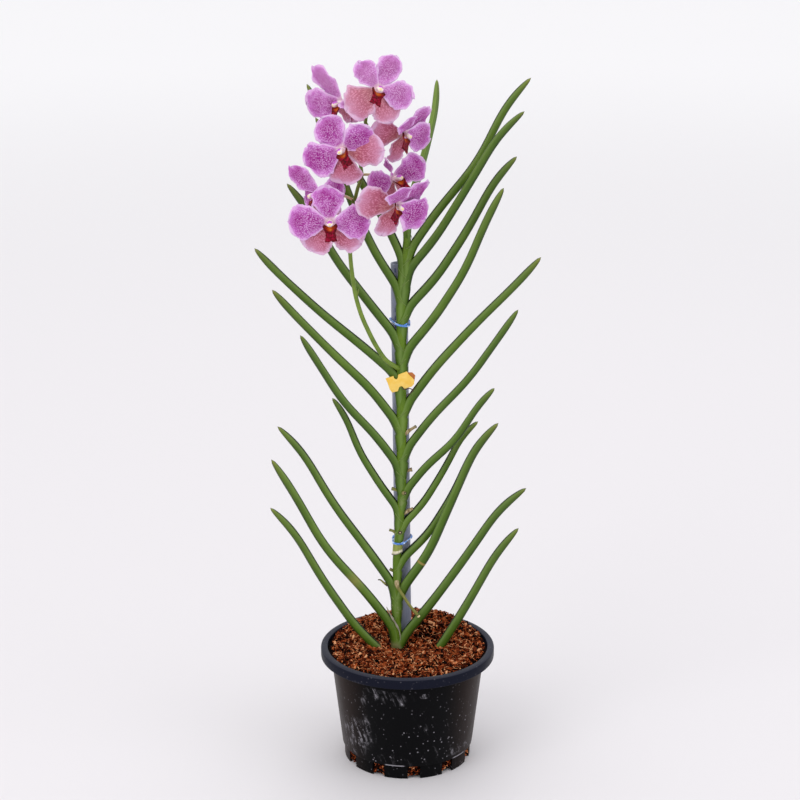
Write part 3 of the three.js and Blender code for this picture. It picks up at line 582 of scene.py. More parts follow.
class ORCHID_PG_foliage(bpy.types.PropertyGroup):
    green: colour("Leaf Green", "Main colour of the leaves", 80, 110, 24)
    # Painted shadow: the groove colour below is the nearly black shade painted into the leaves' groove.
    shade: colour("Groove Green", "Colour in the groove of the leaves", 20, 35, 7)
    tip: colour("Tip", "Colour of the leaf tips", 150, 140, 70)
    waver: bpy.props.FloatProperty(
        name="Waver", description="How far a leaf's width varies along it", subtype="FACTOR",
        min=0, max=0.2, default=0.025)


class ORCHID_PG_flowers(bpy.types.PropertyGroup):
    magenta: colour("Magenta", "Deep colour of the upper petals", 164, 46, 150)
    lilac: colour("Lilac", "Middle colour of the upper petals", 196, 112, 196)
    pale: colour("Pale", "Colour of the margins and of the net's fields", 228, 188, 232)
    rose: colour("Rose", "Middle colour of the lower petals", 210, 132, 158)
    crimson: colour("Crimson", "Veins of the lower petals", 150, 42, 72)
    ruffle: bpy.props.FloatProperty(
        name="Ruffle", description="Height of the waves along a petal's edge, in millimetres",
        min=0, max=3, default=1.6)


class ORCHID_PG_pot(bpy.types.PropertyGroup):
    plastic: colour("Pot Plastic", "Colour of the pot", 10, 10, 12)
    rim: colour("Rim", "Colour of the pot's rim", 21, 23, 36)
    chip_count: bpy.props.IntProperty(
        name="Chips", description="Number of husk chips on the surface", min=0, max=4000, default=2500)
    crumb_count: bpy.props.IntProperty(
        name="Crumbs", description="Number of small husk crumbs", min=0, max=6000, default=1800)
    chip_size: bpy.props.FloatProperty(
        name="Chip Size", description="Usual length of a husk chip", subtype="DISTANCE", unit="LENGTH",
        min=0.002, max=0.02, default=0.0046)
    strand_count: bpy.props.IntProperty(
        name="Strands", description="Number of loose husk fibres", min=0, max=4000, default=2600)


class ORCHID_PG_support(bpy.types.PropertyGroup):
    stake: colour("Stake", "Colour of the stake", 124, 129, 152)
    wire: colour("Wire", "Colour of the ties", 92, 148, 230)
    clip: colour("Clip", "Colour of the clip", 232, 186, 66)


class ORCHID_PG_studio(bpy.types.PropertyGroup):
    floor: colour("Floor", "Colour of the floor", 224, 221, 225)
    key_power: bpy.props.FloatProperty(
        name="Key Light", description="Power of the main light", subtype="POWER", unit="POWER",
        min=0, max=500, default=20)
    fill_power: bpy.props.FloatProperty(
        name="Fill Light", description="Power of the light from the other side", subtype="POWER",
        unit="POWER", min=0, max=500, default=8)
    sky: bpy.props.FloatProperty(
        name="Surrounding Light", description="Strength of the light from all round",
        min=0, max=5, default=0.96)


# Materials

def leaf_finish(name, settings, groove_shading):
    """Smooth green skin with a nearly black painted groove shadow, a painted highlight band, painted keel
    shade and a yellowed tip.
    """
    finish = Finish(name, 0.42, Specular_IOR_Level=0.22)
    around, along, _ = finish.split(finish.uv)
    from_groove = finish.apart(around, 0.5)
    patches = finish.cloud(34, 4)
    streaks = finish.noise(finish.unrolled(60, 9), 1, 4)
    body = finish.ramp(along, [
        (0.0, 86, 116, 22), (0.12, 74, 104, 22), (0.5, settings.green),
        (0.88, 80, 104, 32), (0.965, 104, 116, 42), (1.0, settings.tip),
    ])
    light = finish.mix(finish.fade(patches, 0.35, 0.75, 0, 0.5), body, tint(112, 138, 50))
    streaked = finish.mix(finish.fade(streaks, 0.3, 0.8, 0, 0.45), light, tint(48, 76, 14))
    varied = finish.mix(finish.attribute("tint"), streaked, tint(54, 84, 24))
    # Painted highlight: a lighter band along the middle of the leaf's side, between its groove and its
    # keel.
    from_highlight_line = finish.apart(from_groove, 0.25)
    painted_highlight = finish.mix(finish.fade(from_highlight_line, 0.1, 0.0, 0, 0.4), varied, tint(124, 148, 82))
    # Painted shade: the keel side darkens, darkest on the keel line, for the leaf's dark lower edge and
    # underside.
    keel = finish.mix(finish.fade(from_groove, 0.32, 0.46, 0, 0.85), painted_highlight, tint(24, 48, 3))
    keel_shaded = finish.mix(finish.fade(from_groove, 0.46, 0.5, 0, 0.8), keel, tint(12, 24, 2))
    # Painted shadow: the inner faces of the groove take the groove colour, which is nearly black on most
    # leaves.
    groove_shadow_mask = finish.times(finish.fade(from_groove, 0.2, 0.16), finish.fade(along, 0.04, 0.1))
    groove_shaded = finish.mix(groove_shadow_mask, keel_shaded, groove_shading)
    x, _, z = finish.split(finish.object_place)
    sheath = finish.times(finish.fade(along, 0.03, 0.0), finish.fade(z, 0.32, 0.2))
    dead = finish.times(sheath, finish.fade(finish.cloud(130, 3), 0.54, 0.66, 0, 0.7))
    papery = finish.mix(dead, groove_shaded, tint(150, 148, 112))
    low = finish.fade(z, (MEDIUM_LEVEL + 10) * MM, (MEDIUM_LEVEL - 1) * MM, 0, 0.85)
    near_stem = finish.fade(finish.apart(x, -0.0095), 0.015, 0.008)
    dried = finish.mix(finish.times(low, near_stem), papery, tint(98, 94, 58))
    yellowed = finish.mix(finish.attribute("yellow"), dried, tint(150, 140, 76))
    from_scar = finish.apart(along, finish.attribute("scar"))
    ragged = finish.plus(from_scar, finish.times(patches, 0.008))
    finish.color(finish.mix(finish.fade(ragged, 0.0105, 0.0065, 0, 0.85), yellowed, tint(152, 130, 72)))
    finish.roughness(finish.fade(streaks, 0.2, 0.8, 0.34, 0.5))
    finish.bump(finish.plus(streaks, finish.times(patches, 0.4)), 0.0004, 0.35)
    return finish.material


def stem_finish():
    finish = Finish("stem_sheath", 0.48, Specular_IOR_Level=0.22)
    lines = finish.noise(finish.unrolled(30, 12), 1, 3)
    patches = finish.cloud(60, 3)
    base = finish.ramp(patches, [(0.25, 72, 102, 18), (0.6, 92, 120, 26), (0.8, 112, 128, 50)])
    finish.color(finish.mix(finish.fade(lines, 0.4, 0.8, 0, 0.5), base, tint(72, 100, 34)))
    finish.bump(lines, 0.0005, 0.4)
    return finish.material


def dry_finish():
    """Dead stubs: olive to tan bark by the tint, and a cream cut face where the tint is 1."""
    finish = Finish("dry_stalk", 0.8)
    grain = finish.noise(finish.stretch(3, 3, 1), 160, 5)
    bark = finish.ramp(grain, [
        (0.25, 74, 56, 38), (0.5, 150, 130, 92), (0.7, 196, 182, 146), (0.9, 120, 94, 60),
    ])
    tone = finish.attribute("tint")
    living = finish.mix(finish.fade(tone, 0.1, 0.5, 0, 0.8), bark, tint(112, 118, 40))
    dark = finish.mix(finish.fade(tone, 0.52, 0.75), living, tint(40, 34, 18))
    finish.color(finish.mix(finish.fade(tone, 0.86, 0.98), dark, tint(226, 206, 160)))
    finish.bump(grain, 0.0006, 0.6)
    return finish.material


def papery_finish():
    """Sheath edges by the tint: green, yellow-green, cream, grey, and dark where torn."""
    finish = Finish("papery_sheath", 0.7)
    grain = finish.noise(finish.stretch(1, 1, 0.3), 300, 4)
    kind = finish.attribute("tint")
    base = finish.ramp(kind, [
        (0.0, 112, 138, 58), (0.06, 112, 138, 58), (0.1, 138, 150, 62), (0.15, 150, 156, 78),
        (0.2, 232, 226, 196), (0.3, 226, 218, 190), (0.5, 150, 144, 130), (0.85, 150, 144, 130),
        (0.95, 56, 26, 20),
    ])
    finish.color(finish.mix(finish.fade(grain, 0.35, 0.7, 0, 0.45), base, tint(92, 92, 62)))
    finish.bump(grain, 0.0003, 0.5)
    return finish.material


def spike_finish():
    finish = Finish("spike_skin", 0.45)
    patches = finish.cloud(90, 4)
    base = finish.ramp(patches, [(0.3, 80, 106, 22), (0.6, 108, 132, 36), (0.85, 134, 146, 56)])
    finish.color(finish.mix(finish.attribute("tint"), base, tint(84, 60, 36)))
    finish.bump(patches, 0.0004, 0.3)
    return finish.material


def from_midline(finish):
    """Distance from a petal's midline, from 0 to 1 at its edge."""
    return finish.times(finish.apart(finish.split(finish.uv)[0], 0.5), 2)


def paler_up_share(finish):
    """How much paler the flowers are towards the top of the spike."""
    return finish.fade(finish.split(finish.object_place)[2], PALER_FROM * MM, PALER_TO * MM, 0, 0.14)


class PetalFinish(Finish):
    """A petal's soft skin with a net of cells that differs from petal to petal."""

    def __init__(self, name, glow, across, along, softness, randomness, meshed):
        super().__init__(name, 0.6, Subsurface_Weight=0.1, Subsurface_Scale=0.0006,
                         Subsurface_Radius=glow, Specular_IOR_Level=0.2)
        self.along = self.split(self.uv)[1]
        self.seed = self.times(self.attribute("tint"), 9.7)
        place = self.unrolled(across, along, self.seed)
        self.soft = self.noise(place, softness, 3)
        self.net = self.fade(self.cells(place, 1.0, randomness), 0.2, meshed)

    def ridged(self):
        """Adds the fine ridges along the petal, and gives the finished material."""
        ridges = self.noise(self.unrolled(34, 5, self.seed), 1, 3)
        self.bump(self.plus(ridges, self.times(self.net, 0.4)), 0.0004, 0.45)
        return self.material


def upper_petal_finish(settings):
    """Lilac to magenta with a fine net of deeper colour and a soft pale margin."""
    finish = PetalFinish("upper_petal", (1.0, 0.5, 0.8), 30, 32, 0.12, 0.9, 0.7)
    along, soft = finish.along, finish.soft
    inward = finish.fade(finish.plus(from_midline(finish), finish.times(soft, 0.5)), 1.32, 0.5)
    outward = finish.fade(finish.plus(along, finish.times(soft, 0.2)), 1.12, 0.72)
    depth = finish.times(inward, finish.times(outward, finish.fade(along, 0.0, 0.4, 0.5, 1.0)))
    depth = finish.times(depth, finish.fade(finish.cloud(75, 2), 0.32, 0.62, 0.55, 1.12))
    ground = finish.ramp(depth, [(0.0, settings.pale), (0.2, settings.lilac), (0.9, settings.magenta)])
    dotted = finish.times(finish.minus(1.0, finish.net), finish.fade(along, 0.98, 0.4, 0.12, 0.6))
    light = finish.mix(dotted, ground, settings.pale)
    flushed = finish.mix(finish.times(finish.net, depth, 0.6), light, tint(136, 24, 116))
    paled = finish.mix(paler_up_share(finish), flushed, tint(236, 196, 232))
    finish.color(finish.mix(finish.fade(along, 0.12, 0.02, 0, 0.7), paled, tint(236, 214, 216)))
    return finish.ridged()


def lower_petal_finish(settings):
    """Rose with crimson speckled veins that run out from the middle, and a pale lilac margin."""
    finish = PetalFinish("lower_petal", (1.0, 0.5, 0.6), 28, 17, 0.14, 0.95, 0.65)
    along = finish.along
    edge = finish.plus(finish.math("POWER", from_midline(finish), 3.0), finish.fade(along, 0.66, 1.0))
    margin = finish.fade(finish.plus(edge, finish.times(finish.soft, 0.5)), 0.4, 1.35)
    ground = finish.ramp(along, [
        (0.0, 236, 206, 196), (0.12, 204, 140, 142), (0.4, settings.rose), (0.8, 206, 142, 176),
    ])
    rimmed = finish.mix(margin, ground, tint(222, 184, 216))
    outward = finish.fade(along, 0.95, 0.3, 0.1, 0.72)
    veined = finish.times(finish.net, outward, finish.fade(margin, 0.9, 0.1, 0.2, 1.0))
    veins = finish.mix(veined, rimmed, settings.crimson)
    finish.color(finish.mix(paler_up_share(finish), veins, tint(238, 190, 208)))
    return finish.ridged()


def pedicel_finish():
    finish = Finish("pedicel", 0.5, Subsurface_Weight=0.15, Subsurface_Scale=0.001)
    along = finish.split(finish.uv)[1]
    stripes = finish.noise(finish.unrolled(12, 3), 1, 2)
    base = finish.ramp(along, [
        (0.0, 232, 196, 214), (0.45, 236, 208, 200), (0.8, 214, 204, 150), (1.0, 146, 150, 60),
    ])
    finish.color(finish.mix(finish.fade(stripes, 0.4, 0.7, 0, 0.35), base, tint(206, 136, 150)))
    return finish.material


def lip_finish():
    """Orange side lobes with dark edges round a crimson tongue."""
    finish = Finish("lip", 0.5, Specular_IOR_Level=0.1)
    along = finish.split(finish.uv)[1]
    speckle = finish.cloud(420, 4, 0.65)
    tongue = finish.ramp(speckle, [(0.32, 44, 0, 8), (0.5, 104, 0, 24), (0.62, 150, 6, 50)])
    grain = finish.times(finish.minus(speckle, 0.5), 1.1)
    throat = finish.ramp(finish.plus(from_midline(finish), grain), [
        (0.0, 206, 120, 50), (0.3, 196, 84, 16), (0.55, 150, 48, 14), (0.85, 88, 14, 12),
    ])
    finish.color(finish.mix(finish.fade(along, 0.24, 0.4), throat, tongue))
    finish.bump(speckle, 0.0003, 0.4)
    return finish.material


def column_finish():
    """Cream column with a magenta cap on top and a yellow anther in front."""
    finish = Finish("column", 0.4, Subsurface_Weight=0.2, Subsurface_Scale=0.001, Coat_Weight=0.1)
    around, along, _ = finish.split(finish.uv)
    to_top = finish.apart(around, 0.5)
    cap = finish.times(finish.fade(to_top, 0.2, 0.12), finish.fade(along, 0.34, 0.42),
                       finish.fade(along, 0.86, 0.76))
    base = finish.mix(finish.fade(along, 0.8, 0.92), tint(246, 232, 228), tint(244, 224, 160))
    finish.color(finish.mix(cap, base, tint(190, 84, 196)))
    return finish.material


def pot_finish(settings):
    """Black moulded plastic: greyer rim, dusty scuffs, white specks and stressed lines at the foot."""
    finish = Finish("pot_plastic", 0.34, Specular_IOR_Level=0.045)
    x, y, z = finish.split(finish.object_place)
    smear = finish.noise(finish.stretch(1, 1, 0.35), 30, 6, 0.7)
    slanted = finish.join(finish.plus(x, finish.times(z, 0.42)), y, finish.times(z, 0.22))
    streaks = finish.noise(slanted, 190, 5, 0.72)
    patch = finish.cloud(9, 2)
    grit = finish.cloud(170, 4, 0.7)
    worn = finish.fade(streaks, 0.47, 0.62)
    dusty = finish.times(finish.fade(streaks, 0.58, 0.78, 0, 0.18), finish.fade(patch, 0.45, 0.66))
    for across, up, wide, tall, amount in SCUFFS:
        away_x = finish.over(finish.minus(x, POT_X + across * MM), wide * MM)
        away_z = finish.over(finish.minus(z, up * MM), tall * MM)
        away = finish.plus(finish.times(away_x, away_x), finish.times(away_z, away_z))
        inside = finish.times(finish.fade(away, 1.3, 0.2, 0, amount), finish.fade(y, 0.0, -0.02))
        ragged = finish.times(inside, finish.times(worn, finish.fade(grit, 0.4, 0.6, 0.1, 1.2)))
        dusty = finish.most(dusty, ragged)
    speck_cells = finish.cells(finish.object_place, 260)
    speck_noise = finish.cloud(150, 2)
    low = finish.fade(z, 0.1, 0.04, 0.2, 1.0)
    specks = finish.times(finish.fade(speck_cells, 0.27, 0.13), finish.fade(speck_noise, 0.48, 0.6))
    specks = finish.times(specks, low)
    line = finish.times(finish.fade(z, 0.0138, 0.0142), finish.fade(z, 0.0162, 0.0152))
    stressed = 0.0
    for left, right in STRESSED:
        start = finish.fade(x, POT_X + left * MM, POT_X + (left + 3) * MM)
        end = finish.fade(x, POT_X + right * MM, POT_X + (right - 3) * MM)
        stressed = finish.most(stressed, finish.times(start, end))
    stressed = finish.times(finish.times(line, finish.fade(y, 0.0, -0.02)), stressed)
    stressed = finish.times(stressed, finish.fade(grit, 0.36, 0.5, 0.3, 1.2))
    marks = finish.most(dusty, finish.times(specks, 0.8))
    marks = finish.most(marks, stressed)
    # Painted reflection: both sides of the pot, left and right of its axis, turn warm brown as if they
    # reflected warm surroundings.
    aside = finish.apart(x, POT_X)
    warm_side_reflection = finish.mix(finish.fade(aside, 0.035, 0.075, 0, 0.7), settings.plastic, tint(44, 29, 23))
    rim = finish.fade(z, (POT_HEIGHT - RIM_DEEP - 1) * MM, (POT_HEIGHT - RIM_DEEP) * MM)
    greyed = finish.mix(rim, warm_side_reflection, settings.rim)
    # Lighter bluish grey along the top of the rim.
    top = finish.fade(z, (POT_HEIGHT - 1.4) * MM, (POT_HEIGHT - 0.4) * MM, 0, 0.8)
    top_lightened = finish.mix(top, greyed, tint(54, 55, 66))
    finish.color(finish.mix(marks, top_lightened, tint(146, 143, 150)))
    finish.roughness(finish.plus(finish.fade(smear, 0.3, 0.7, 0.3, 0.42), finish.times(marks, 0.3)))
    finish.bump(finish.plus(finish.cloud(900, 2), smear), 0.0002, 0.2)
    return finish.material


def chip_finish(name, bed_shade):
    """Coconut husk: rust brown corky chips with fibres, each with a tone of its own."""
    finish = Finish(name, 0.95, Specular_IOR_Level=0.08)
    grain = finish.noise(finish.stretch(1, 0.5, 1.4), 700, 4, 0.7)
    tone = finish.plus(finish.attribute("tint"), finish.times(finish.minus(grain, 0.5), 0.7))
    # Painted shade: darker patches at random that stand for shaded pockets between the fibres.
    painted_gap_shade = finish.fade(finish.cloud(95, 2), 0.45, 0.34, 0, 0.28)
    color = finish.ramp(finish.minus(tone, painted_gap_shade), [
        (0.0, 4, 0, 0), (0.25, 40, 9, 2), (0.5, 120, 46, 17), (0.75, 176, 90, 46),
        (1.0, 232, 172, 126),
    ])
    # The caller's darkening towards near black; the bed under the loose chips uses it as painted shade.
    finish.color(finish.mix(bed_shade, color, tint(20, 8, 5)))
    finish.bump(grain, 0.0008, 0.8)
    return finish.material


def stake_finish(settings):
    """Extruded plastic tube with faint lengthwise lines and a row of plain printed dashes."""
    finish = Finish("stake_plastic", 0.45)
    around, along, _ = finish.split(finish.uv)
    lines = finish.noise(finish.unrolled(90, 2), 1, 3)
    dirt = finish.cloud(40, 5)
    base = finish.mix(finish.fade(lines, 0.35, 0.7, 0, 0.4), settings.stake, tint(150, 154, 172))
    dusty = finish.mix(finish.fade(dirt, 0.5, 0.75, 0, 0.4), base, tint(96, 98, 112))
    stripe = finish.math("LESS_THAN", finish.apart(around, 0.676), 0.02)
    beat = finish.math("FRACT", finish.times(along, 62))
    pause = finish.math("GREATER_THAN", finish.math("FRACT", finish.times(along, 5.2)), 0.3)
    dashes = finish.times(finish.math("LESS_THAN", beat, 0.52), finish.times(stripe, pause))
    worn = finish.times(dashes, finish.fade(dirt, 0.75, 0.45, 0.35, 0.9))
    finish.color(finish.mix(worn, dusty, tint(40, 48, 110)))
    finish.roughness(finish.fade(dirt, 0.3, 0.7, 0.38, 0.55))
    finish.bump(lines, 0.0002, 0.3)
    return finish.material


def wire_finish(settings):
    finish = Finish("tie_wire", 0.32, Coat_Weight=0.3)
    worn = finish.cloud(300, 3)
    # Painted highlights: near-white patches stand for glints on the blue wire; dark navy patches where the
    # noise is low.
    pale = finish.mix(finish.fade(worn, 0.5, 0.62), settings.wire, tint(206, 224, 250))
    finish.color(finish.mix(finish.fade(worn, 0.42, 0.34), pale, tint(16, 30, 76)))
    return finish.material


def clip_finish(settings):
    finish = Finish("clip_plastic", 0.38, Coat_Weight=0.2, Coat_Roughness=0.2)
    cloud = finish.cloud(120, 4)
    base = finish.mix(finish.fade(cloud, 0.35, 0.7), settings.clip, tint(240, 204, 104))
    spots = finish.cells(finish.object_place, 75)
    stained = finish.times(finish.fade(spots, 0.16, 0.1), finish.fade(cloud, 0.5, 0.56))
    finish.color(finish.mix(stained, base, tint(120, 58, 30)))
    finish.bump(cloud, 0.0003, 0.3)
    return finish.material


def jaw_finish():
    finish = Finish("jaw_plastic", 0.35, Coat_Weight=0.25)
    cloud = finish.cloud(300, 4)
    finish.color(finish.ramp(cloud, [(0.3, 150, 78, 16), (0.6, 196, 112, 30), (0.8, 224, 148, 60)]))
    return finish.material


def loop_finish():
    finish = Finish("loop_wire", 0.6)
    worn = finish.cloud(600, 3)
    finish.color(finish.ramp(worn, [(0.35, 34, 20, 14), (0.7, 86, 60, 42)]))
    return finish.material


def floor_finish(settings):
    """Plain pale matt floor, a little deeper under the lights so that it looks even."""
    finish = Finish("floor", 0.7, Specular_IOR_Level=0.2)
    x, y, _ = finish.split(finish.object_place)
    away = finish.math("SQRT", finish.plus(finish.times(x, x), finish.times(y, y)))
    finish.color(finish.mix(finish.fade(away, 0.3, 6.0), settings.floor, tint(252, 251, 254)))
    finish.bump(finish.cloud(400, 2), 0.0001, 0.1)
    return finish.material


def side_of(name):
    return 1 if "right" in name else -1


def stem_x(height):
    return read_along(STEM_AXIS, height)


def bend_at(bends, share):
    """Angle of a leaf above the horizontal, in radians, smooth between the stations."""
    index = 0
    while index < len(BEND_STATIONS) - 2 and share > BEND_STATIONS[index + 1]:
        index += 1
    start = BEND_STATIONS[index]
    part = (share - start) / (BEND_STATIONS[index + 1] - start)
    return radians(bends[index] + (bends[index + 1] - bends[index]) * ease(part))


def leaf_rows(name):
    """Rows along a leaf, from the foot of its sheath to its tip: share, place and directions."""
    height, length, bends, lean, _ = LEAVES[name]
    side = side_of(name)
    turn = radians(lean)
    outward = Vector((side * cos(turn), sin(turn), 0))
    foot = max(height - SHEATH_LONG, LOWEST_SHEATH)
    rows = []
    for step in range(SHEATH_ROWS):
        level = foot + (height - foot) * step / SHEATH_ROWS
        rows.append(((level - height) / length, Vector((stem_x(level), 0, level)), UP, -outward))
    place = Vector((stem_x(height), 0, height))
    last = BLADE_ROWS - SHEATH_ROWS
    walked = 0.0
    for index in range(last + 1):
        share = 1 - (1 - index / last) ** 1.12
        while walked < share - 1e-9:
            stride = min(BLADE_STRIDE, share - walked)
            angle = bend_at(bends, walked + stride / 2)
            place = place + (outward * cos(angle) + UP * sin(angle)) * stride * length
            walked += stride
        angle = bend_at(bends, share)
        along = outward * cos(angle) + UP * sin(angle)
        rows.append((share, place.copy(), along, UP * cos(angle) - outward * sin(angle)))
    return rows


def blade_outline(turn, half, across, groove):
    """Place on a blade's section, as distance towards its upper face and to its side."""
    packed = turn - 0.6 * sin(turn)
    sine = sin(packed)
    cosine = cos(packed)
    if cosine > 0:
        return half * cosine ** 0.72 - groove * exp(-((sine / 0.3) ** 2)), across * sine
    return -half * (0.9 * abs(cosine) ** 0.72 + 0.06 * exp(-((sine / 0.25) ** 2))), across * sine


def sheath_size(height, share):
    """Half width of a sheath, and its shift towards the blade, at a share of the leaf's length."""
    rise = ease(share, -0.16, 0.0)
    return read_along(STEM_HALF, height) - 0.4 + 1.5 * rise, 1.3 * rise


def leaf_mesh(name, settings):
    wide = LEAVES[name][4]
    rows = leaf_rows(name)
    last = len(rows) - 1
    seed = sum(map(ord, name))
    scar_at = SCARS.get(name, -1.0)
    yellow_at = YELLOWED.get(name)
    bm = new_bmesh()
    scar = bm.verts.layers.float.new("scar")
    yellow = bm.verts.layers.float.new("yellow")

    def place(u, v):
        index = round(v * last)
        share, centre, along, inner = rows[index]
        across = along.cross(inner)
        turn = tau * (u - 0.5)
        past = max(0.0, share - BLADE_TIP) / (1 - BLADE_TIP)
        waver = 1 + settings.waver * noise.noise(Vector((share * 7, seed, 0)))
        size = wide * waver * (1 - BLADE_THIN * max(share, 0)) * sqrt(max(0.0, 1 - past * past))
        groove = BLADE_HALF * size * BLADE_GROOVE * (1 - 0.75 * max(share, 0))
        face, side = blade_outline(turn, BLADE_HALF * size, BLADE_ACROSS * size, groove)
        opened = ease(share, -0.02, 0.1)
        if opened < 1:
            packed = turn - 0.6 * sin(turn) * opened
            sheath, shift = sheath_size(centre.z, share)
            face = face * opened + sheath * cos(packed) * (1 - opened)
            side = side * opened + sheath * sin(packed) * (1 - opened)
            centre = centre - inner * shift * (1 - opened)
        return spot(*(centre + inner * face + across * side))

    wrap(bm, BLADE_COLUMNS, last, place, value=(seed * 0.37) % 0.5)
    share_at = [row[0] for row in rows]
    uv = bm.loops.layers.uv["UVMap"]
    for face in bm.faces:
        for loop in face.loops:
            v = loop[uv].uv.y
            share = share_at[round(v * last)]
            loop[uv].uv.y = max(share, 0.0)
            loop.vert[scar] = scar_at
            if yellow_at is not None:
                loop.vert[yellow] = 0.55 * max(0.0, 1 - abs(share - yellow_at) / 0.05)
    return closed(bm)


class ORCHID_OT_leaves(bpy.types.Operator):
    """Add the half-round leaves with the sheaths that wrap the stem"""
    bl_idname = "orchid.leaves"
    bl_label = "Add Leaves"

    def execute(self, context):
        settings = context.scene.orchid_foliage
        # Most leaves get the painted groove shadow; leaf_right_01, whose groove faces the front, gets a
        # copy with its groove painted light green as if lit.
        groove_shaded = leaf_finish("leaf_skin", settings, settings.shade)
        groove_lit = leaf_finish("leaf_skin_lit_groove", settings, tint(118, 146, 66))
        for name in LEAVES:
            material = groove_lit if name == "leaf_right_01" else groove_shaded
            add_piece(name + "_blade", leaf_mesh(name, settings), [material], [name], sharp=80)
        return {"FINISHED"}


# Stem, stubs and old stalk

def stem_mesh():
    bm = new_bmesh()
    low = STEM_AXIS[0][0]
    tall = STEM_AXIS[-1][0] - low
    rows = STEM_ROWS + 2

    def place(u, v):
        number = round(v * rows)
        height = low + tall * min(max(number - 1, 0), STEM_ROWS) / STEM_ROWS
        closing = 0 if number in (0, rows) else 1
        half = read_along(STEM_HALF, height) * closing
        turn = tau * u
        return spot(stem_x(height) + half * cos(turn), (half + 0.4) * closing * sin(turn), height)

    wrap(bm, 20, rows, place)
    for index, turn in enumerate(ROOTS["turns"]):
        angle = radians(turn)
        start = ROOTS["from"] + (index % 2) * 3
        points = []
        for share in (0, 0.3, 0.65, 1):
            reach = ROOTS["reach"] * share
            points.append((stem_x(start) + reach * cos(angle + 0.3 * share),
                           reach * sin(angle + 0.3 * share), start - ROOTS["drop"] * share ** 1.4))
        tube(bm, points, lambda share: ROOTS["thick"] * (1 - 0.4 * share), 8, 12)
    return closed(bm)


def stub_mesh():
    """Stubs of old stalks and roots: each has a tone of its own and a pale cut end."""
    bm = new_bmesh()
    for index, (start, end, radius) in enumerate(STUBS):
        low, high = Vector(start), Vector(end)
        middle = low.lerp(high, 0.5) + Vector((0, 0, 0.6))
        wobble = index * 1.3
        tone = STUB_TONES[index]
        tube(bm, [low, middle, high], lambda share: radius * (0.9 + 0.16 * sin(6 * share + wobble)),
             10, 8, value=lambda u, v: 1.0 if v > 0.96 else 0.7 if v > 0.86 else tone, flat_ends=True)
    tube(bm, DEAD_ROOT, lambda share: 1.5 - 0.9 * share, 8, 10,
         value=lambda u, v: 0.7 if abs(v - 0.5) > 0.2 else 0.4)
    return closed(bm)


def sheath_spot(name, around, height, lift):
    """Place on a leaf's sheath: angle from the blade's side, height, distance off the surface."""
    leaf_height, length, _, lean, _ = LEAVES[name]
    half, shift = sheath_size(height, (height - leaf_height) / length)
    radius = half + lift
    turn = around + radians(lean)
    x = stem_x(height) + side_of(name) * (shift + radius * cos(turn))
    return x, radius * sin(turn), height


def margins_mesh():
    """Thin edges of the sheaths, where each clasps the stem."""
    bm = new_bmesh()
    for name, leaf in LEAVES.items():
        height = leaf[0]
        if height < MEDIUM_LEVEL + 12:
            continue
        mouth = []
        for step in range(25):
            around = tau * step / 24
            mouth.append(sheath_spot(name, around, height + 1.5 + 6 * cos(around), 0.05))
        tube(bm, mouth, lambda share: 0.3, 5, 48, value=0.0)
    return closed(bm)


def collar_mesh():
    """Cream part of the stem where an old sheath has torn off, with its dark ragged edge."""
    bm = new_bmesh()
    rows = 10

    def place(u, v):
        turn = tau * u
        ragged = 0.9 * noise.noise(Vector((cos(turn) * 2, sin(turn) * 2, 4)))
        low = TORN_LOW + 1.6 * cos(turn) + ragged
        number = round(v * rows)
        closing = 0 if number in (0, rows) else 1
        height = low + (TORN_HIGH - low) * (min(max(number, 1), rows - 1) - 1) / (rows - 2)
        flare = 0.9 + (0.7 if number == 1 else 0.35 if number == 2 else 0.0)
        radius = (read_along(STEM_HALF, height) + flare) * closing
        return spot(stem_x(height) + radius * cos(turn), radius * sin(turn), height)

    def tone(u, v):
        number = round(v * rows)
        return 1.0 if number < 2 else 0.24 if number < 4 else 0.12

    wrap(bm, 28, rows, place, value=tone)

    def strip_radius(share):
        return 0.3 + 0.75 * sin(pi * min(share * 1.1, 1.0)) * (1 + 0.4 * sin(23 * share))

    tube(bm, OLD_STRIP, strip_radius, 8, 30, value=0.6)
    return closed(bm)


def stalk_mesh():
    bm = new_bmesh()
    tube(bm, CUT_STALK, lambda share: CUT_STALK_RADIUS * (0.86 + 0.5 * ease(share, 0.25, 0.06)), 12, 30,
         value=lambda u, v: 1.0 if v > 0.9 else 0.5 * ease(v, 0.12, 0.3), flat_ends=True)
    return closed(bm)


class ORCHID_OT_stem(bpy.types.Operator):
    """Add the stem, its root stubs and the old cut stalk"""
    bl_idname = "orchid.stem"
    bl_label = "Add Stem"

    def execute(self, context):
        dry = dry_finish()
        add_piece("stem_core", stem_mesh(), [stem_finish()], ["stem"])
        add_piece("stem_stubs", stub_mesh(), [dry], ["stem"])
        paper = papery_finish()
        add_piece("sheath_margins", margins_mesh(), [paper], ["stem"])
        add_piece("torn_sheath", collar_mesh(), [paper], ["stem"])
        add_piece("old_stalk", stalk_mesh(), [dry], ["cut_stalk"])
        return {"FINISHED"}


# Flower spike and blooms

def spike_place(height):
    """Place on the spike at a height."""
    return min(curve_points(SPIKE, 200), key=lambda place: abs(place.z - height))


